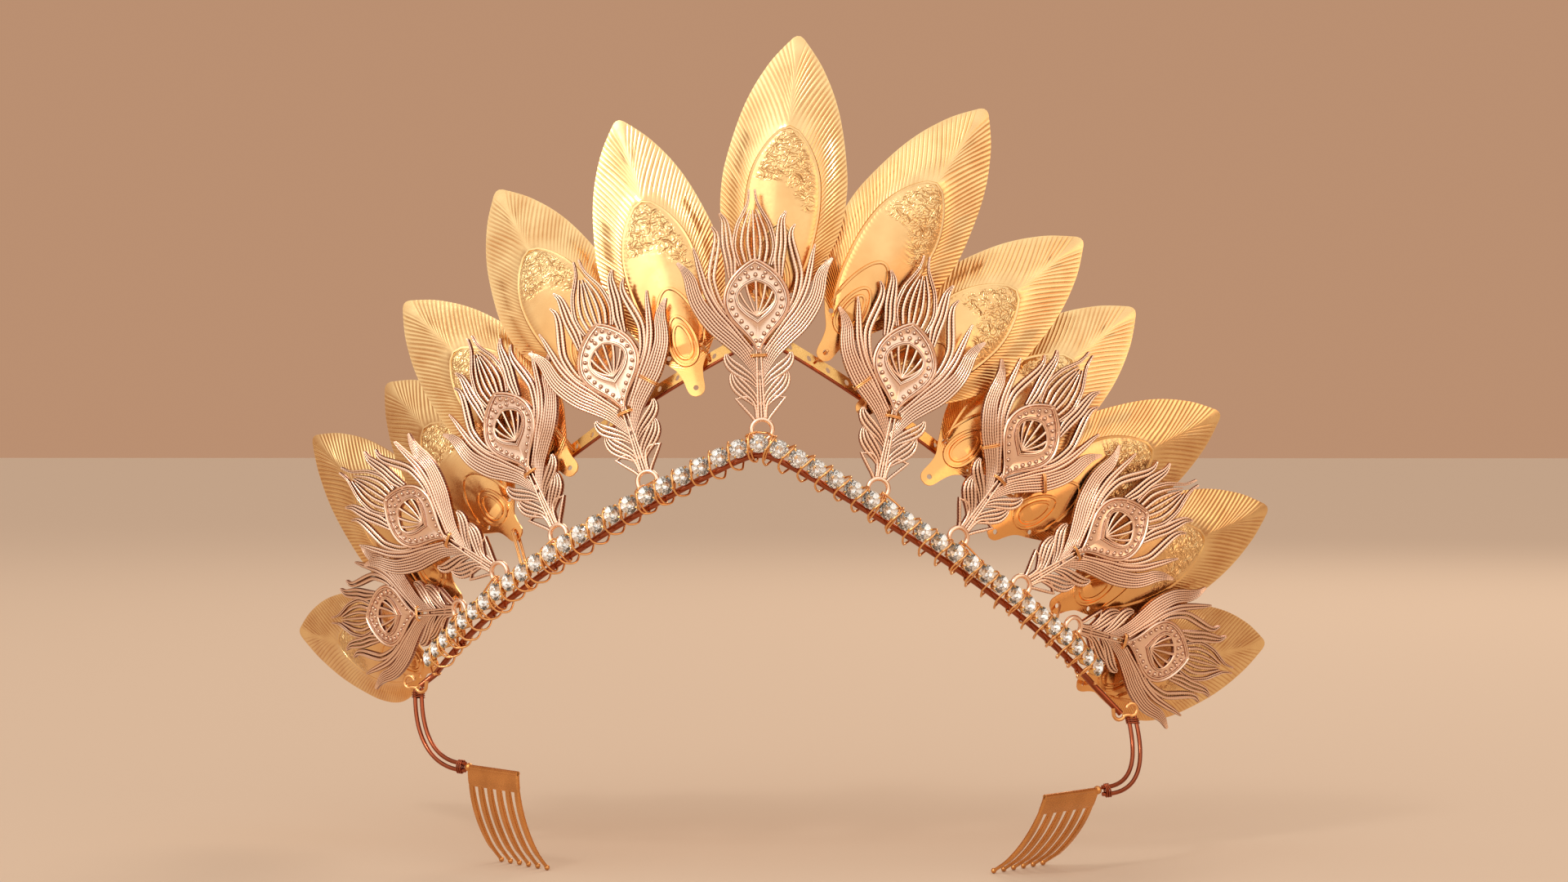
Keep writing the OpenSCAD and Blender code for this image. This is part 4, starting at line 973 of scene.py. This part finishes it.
# Plain rolled brass, duller and browner than the gilt parts.
COMB_BRASS = metal_finish("rolled_brass", "#DFA060", "#8A4E22", roughness=0.26, grain=0.4, bump=0.3)
for side, (place, turn, lean, outer) in COMBS.items():
    t, l = math.radians(turn), math.radians(lean)
    about_x = np.array([[1, 0, 0], [0, math.cos(l), -math.sin(l)], [0, math.sin(l), math.cos(l)]])
    about_z = np.array([[math.cos(t), -math.sin(t), 0], [math.sin(t), math.cos(t), 0], [0, 0, 1]])
    lay = lambda points: points @ (about_z @ about_x).T + np.array(place) + CROWN_SHIFT
    # The tips stand on the floor: the angle at which a tip's ball is half its diameter above it
    angles = np.linspace(0, 1.2, 600)
    levels = lay(comb_point(0.0, COMB_BEND_R + TINE_FORM[-1, 3], angles))[:, 2]
    last = np.interp(-TIP_D / 2, -levels, angles)
    plate_end = COMB_PLATE / COMB_BEND_R
    plate_turn = np.linspace(0, plate_end, 6)
    plate = bent_bar(0.0, np.full(6, COMB_W / 2), PLATE_HALF_T, np.zeros(6), plate_turn)
    roll = skin(comb_point((np.linspace(-1, 1, 12) * COMB_W / 2)[:, None],
                           COMB_BEND_R + ROLL_R * np.cos(ring_turn),
                           ROLL_DROP / COMB_BEND_R + ROLL_R / COMB_BEND_R * np.sin(ring_turn)))
    parts = [plate, roll]
    share = np.linspace(0, 1, 25)
    half_w, half_t, step = (np.interp(share, TINE_FORM[:, 0], TINE_FORM[:, m]) for m in (1, 2, 3))
    for x in np.linspace(-1, 1, COMB_TINES) * (COMB_W - TINE_W) / 2:
        tine_turn = plate_end * TINE_ROOT + (last - plate_end * TINE_ROOT) * share
        parts.append(bent_bar(x, half_w, half_t, step, tine_turn))
        parts.append(ball(comb_point(x, COMB_BEND_R + step[-1], last), TIP_D))
    parts.append(ball((outer * COMB_W / 2, 0, -KNOB_D / 4), KNOB_D))
    comb = build_piece("bent_comb_" + side, [(lay(points), *rest) for points, *rest in parts], COMB_BRASS, 40)
    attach(comb, "root")
    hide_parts("comb_" + side)

# ---- Floor and light ----
# A plain pale floor, large soft panels before and behind the crown, a small hard one for sparkle, and a
# surround that is brighter before and above the crown than at its sides and behind it.
floor_mesh = bpy.data.meshes.new("floor")
floor_mesh.from_pydata([(-15, -15, 0), (15, -15, 0), (15, 15, 0), (-15, 15, 0)], [], [(0, 1, 2, 3)])
PALE_FLOOR = bpy.data.materials.new("pale_matt_floor")
PALE_FLOOR.use_nodes = True
floor_shader = PALE_FLOOR.node_tree.nodes["Principled BSDF"]
floor_shader.inputs["Base Color"].default_value = linear("#CDB9A5")
floor_shader.inputs["Roughness"].default_value = 0.8
floor_mesh.materials.append(PALE_FLOOR)
floor = bpy.data.objects.new("floor", floor_mesh)
bpy.context.scene.collection.objects.link(floor)

LIGHT_AIM = np.array([0, 0, 0.085])  # in metres, about the crown's middle
LIGHTS = [  # name, place in metres, diameter in metres, power in watts, tint
    ("panel", (-1.0, -1.5, 0.95), 1.6, 5.5, "#FFF6E8"), ("sparkle", (-0.6, -1.0, 1.1), 0.2, 3.0, "#FFFAF2"),
    ("fill", (1.4, -1.1, 0.5), 1.0, 2.5, "#FFC48C"), ("back", (0.5, 1.2, 1.1), 0.8, 6, "#FFF2E0")]
for name, place, size, power, tint in LIGHTS:
    data = bpy.data.lights.new(name, "AREA")
    data.shape, data.size, data.energy, data.color = "DISK", size, power, linear(tint)[:3]
    light = bpy.data.objects.new(name, data)
    light.location = place
    aim = LIGHT_AIM - np.array(place)
    light.rotation_euler = (math.acos(-aim[2] / np.linalg.norm(aim)), 0, math.atan2(-aim[0], aim[1]))
    light.visible_camera = False
    bpy.context.scene.collection.objects.link(light)

world = bpy.data.worlds.new("surround")
bpy.context.scene.world = world
world.use_nodes = True
surround = world.node_tree.nodes["Background"]
# Bright and nearly white from the front and above, dimmer and warm from the sides and behind
ways = add_node(world.node_tree, "ShaderNodeTexCoord").outputs["Generated"]
facing = add_node(world.node_tree, "ShaderNodeVectorMath", {0: ways, 1: (-0.12, -0.75, 0.64)},
                  operation="DOT_PRODUCT")
level = add_node(world.node_tree, "ShaderNodeMapRange", {0: facing.outputs["Value"], 1: 0.0, 2: 0.85},
                 interpolation_type="SMOOTHSTEP")
shade = add_node(world.node_tree, "ShaderNodeMix", {"Factor": level.outputs[0], 6: linear("#AC8468"),
                                                    7: linear("#FFF8EE")}, data_type="RGBA")
world.node_tree.links.new(shade.outputs[2], surround.inputs["Color"])
surround.inputs["Strength"].default_value = 1.2
bpy.context.scene.view_settings.view_transform = "Standard"
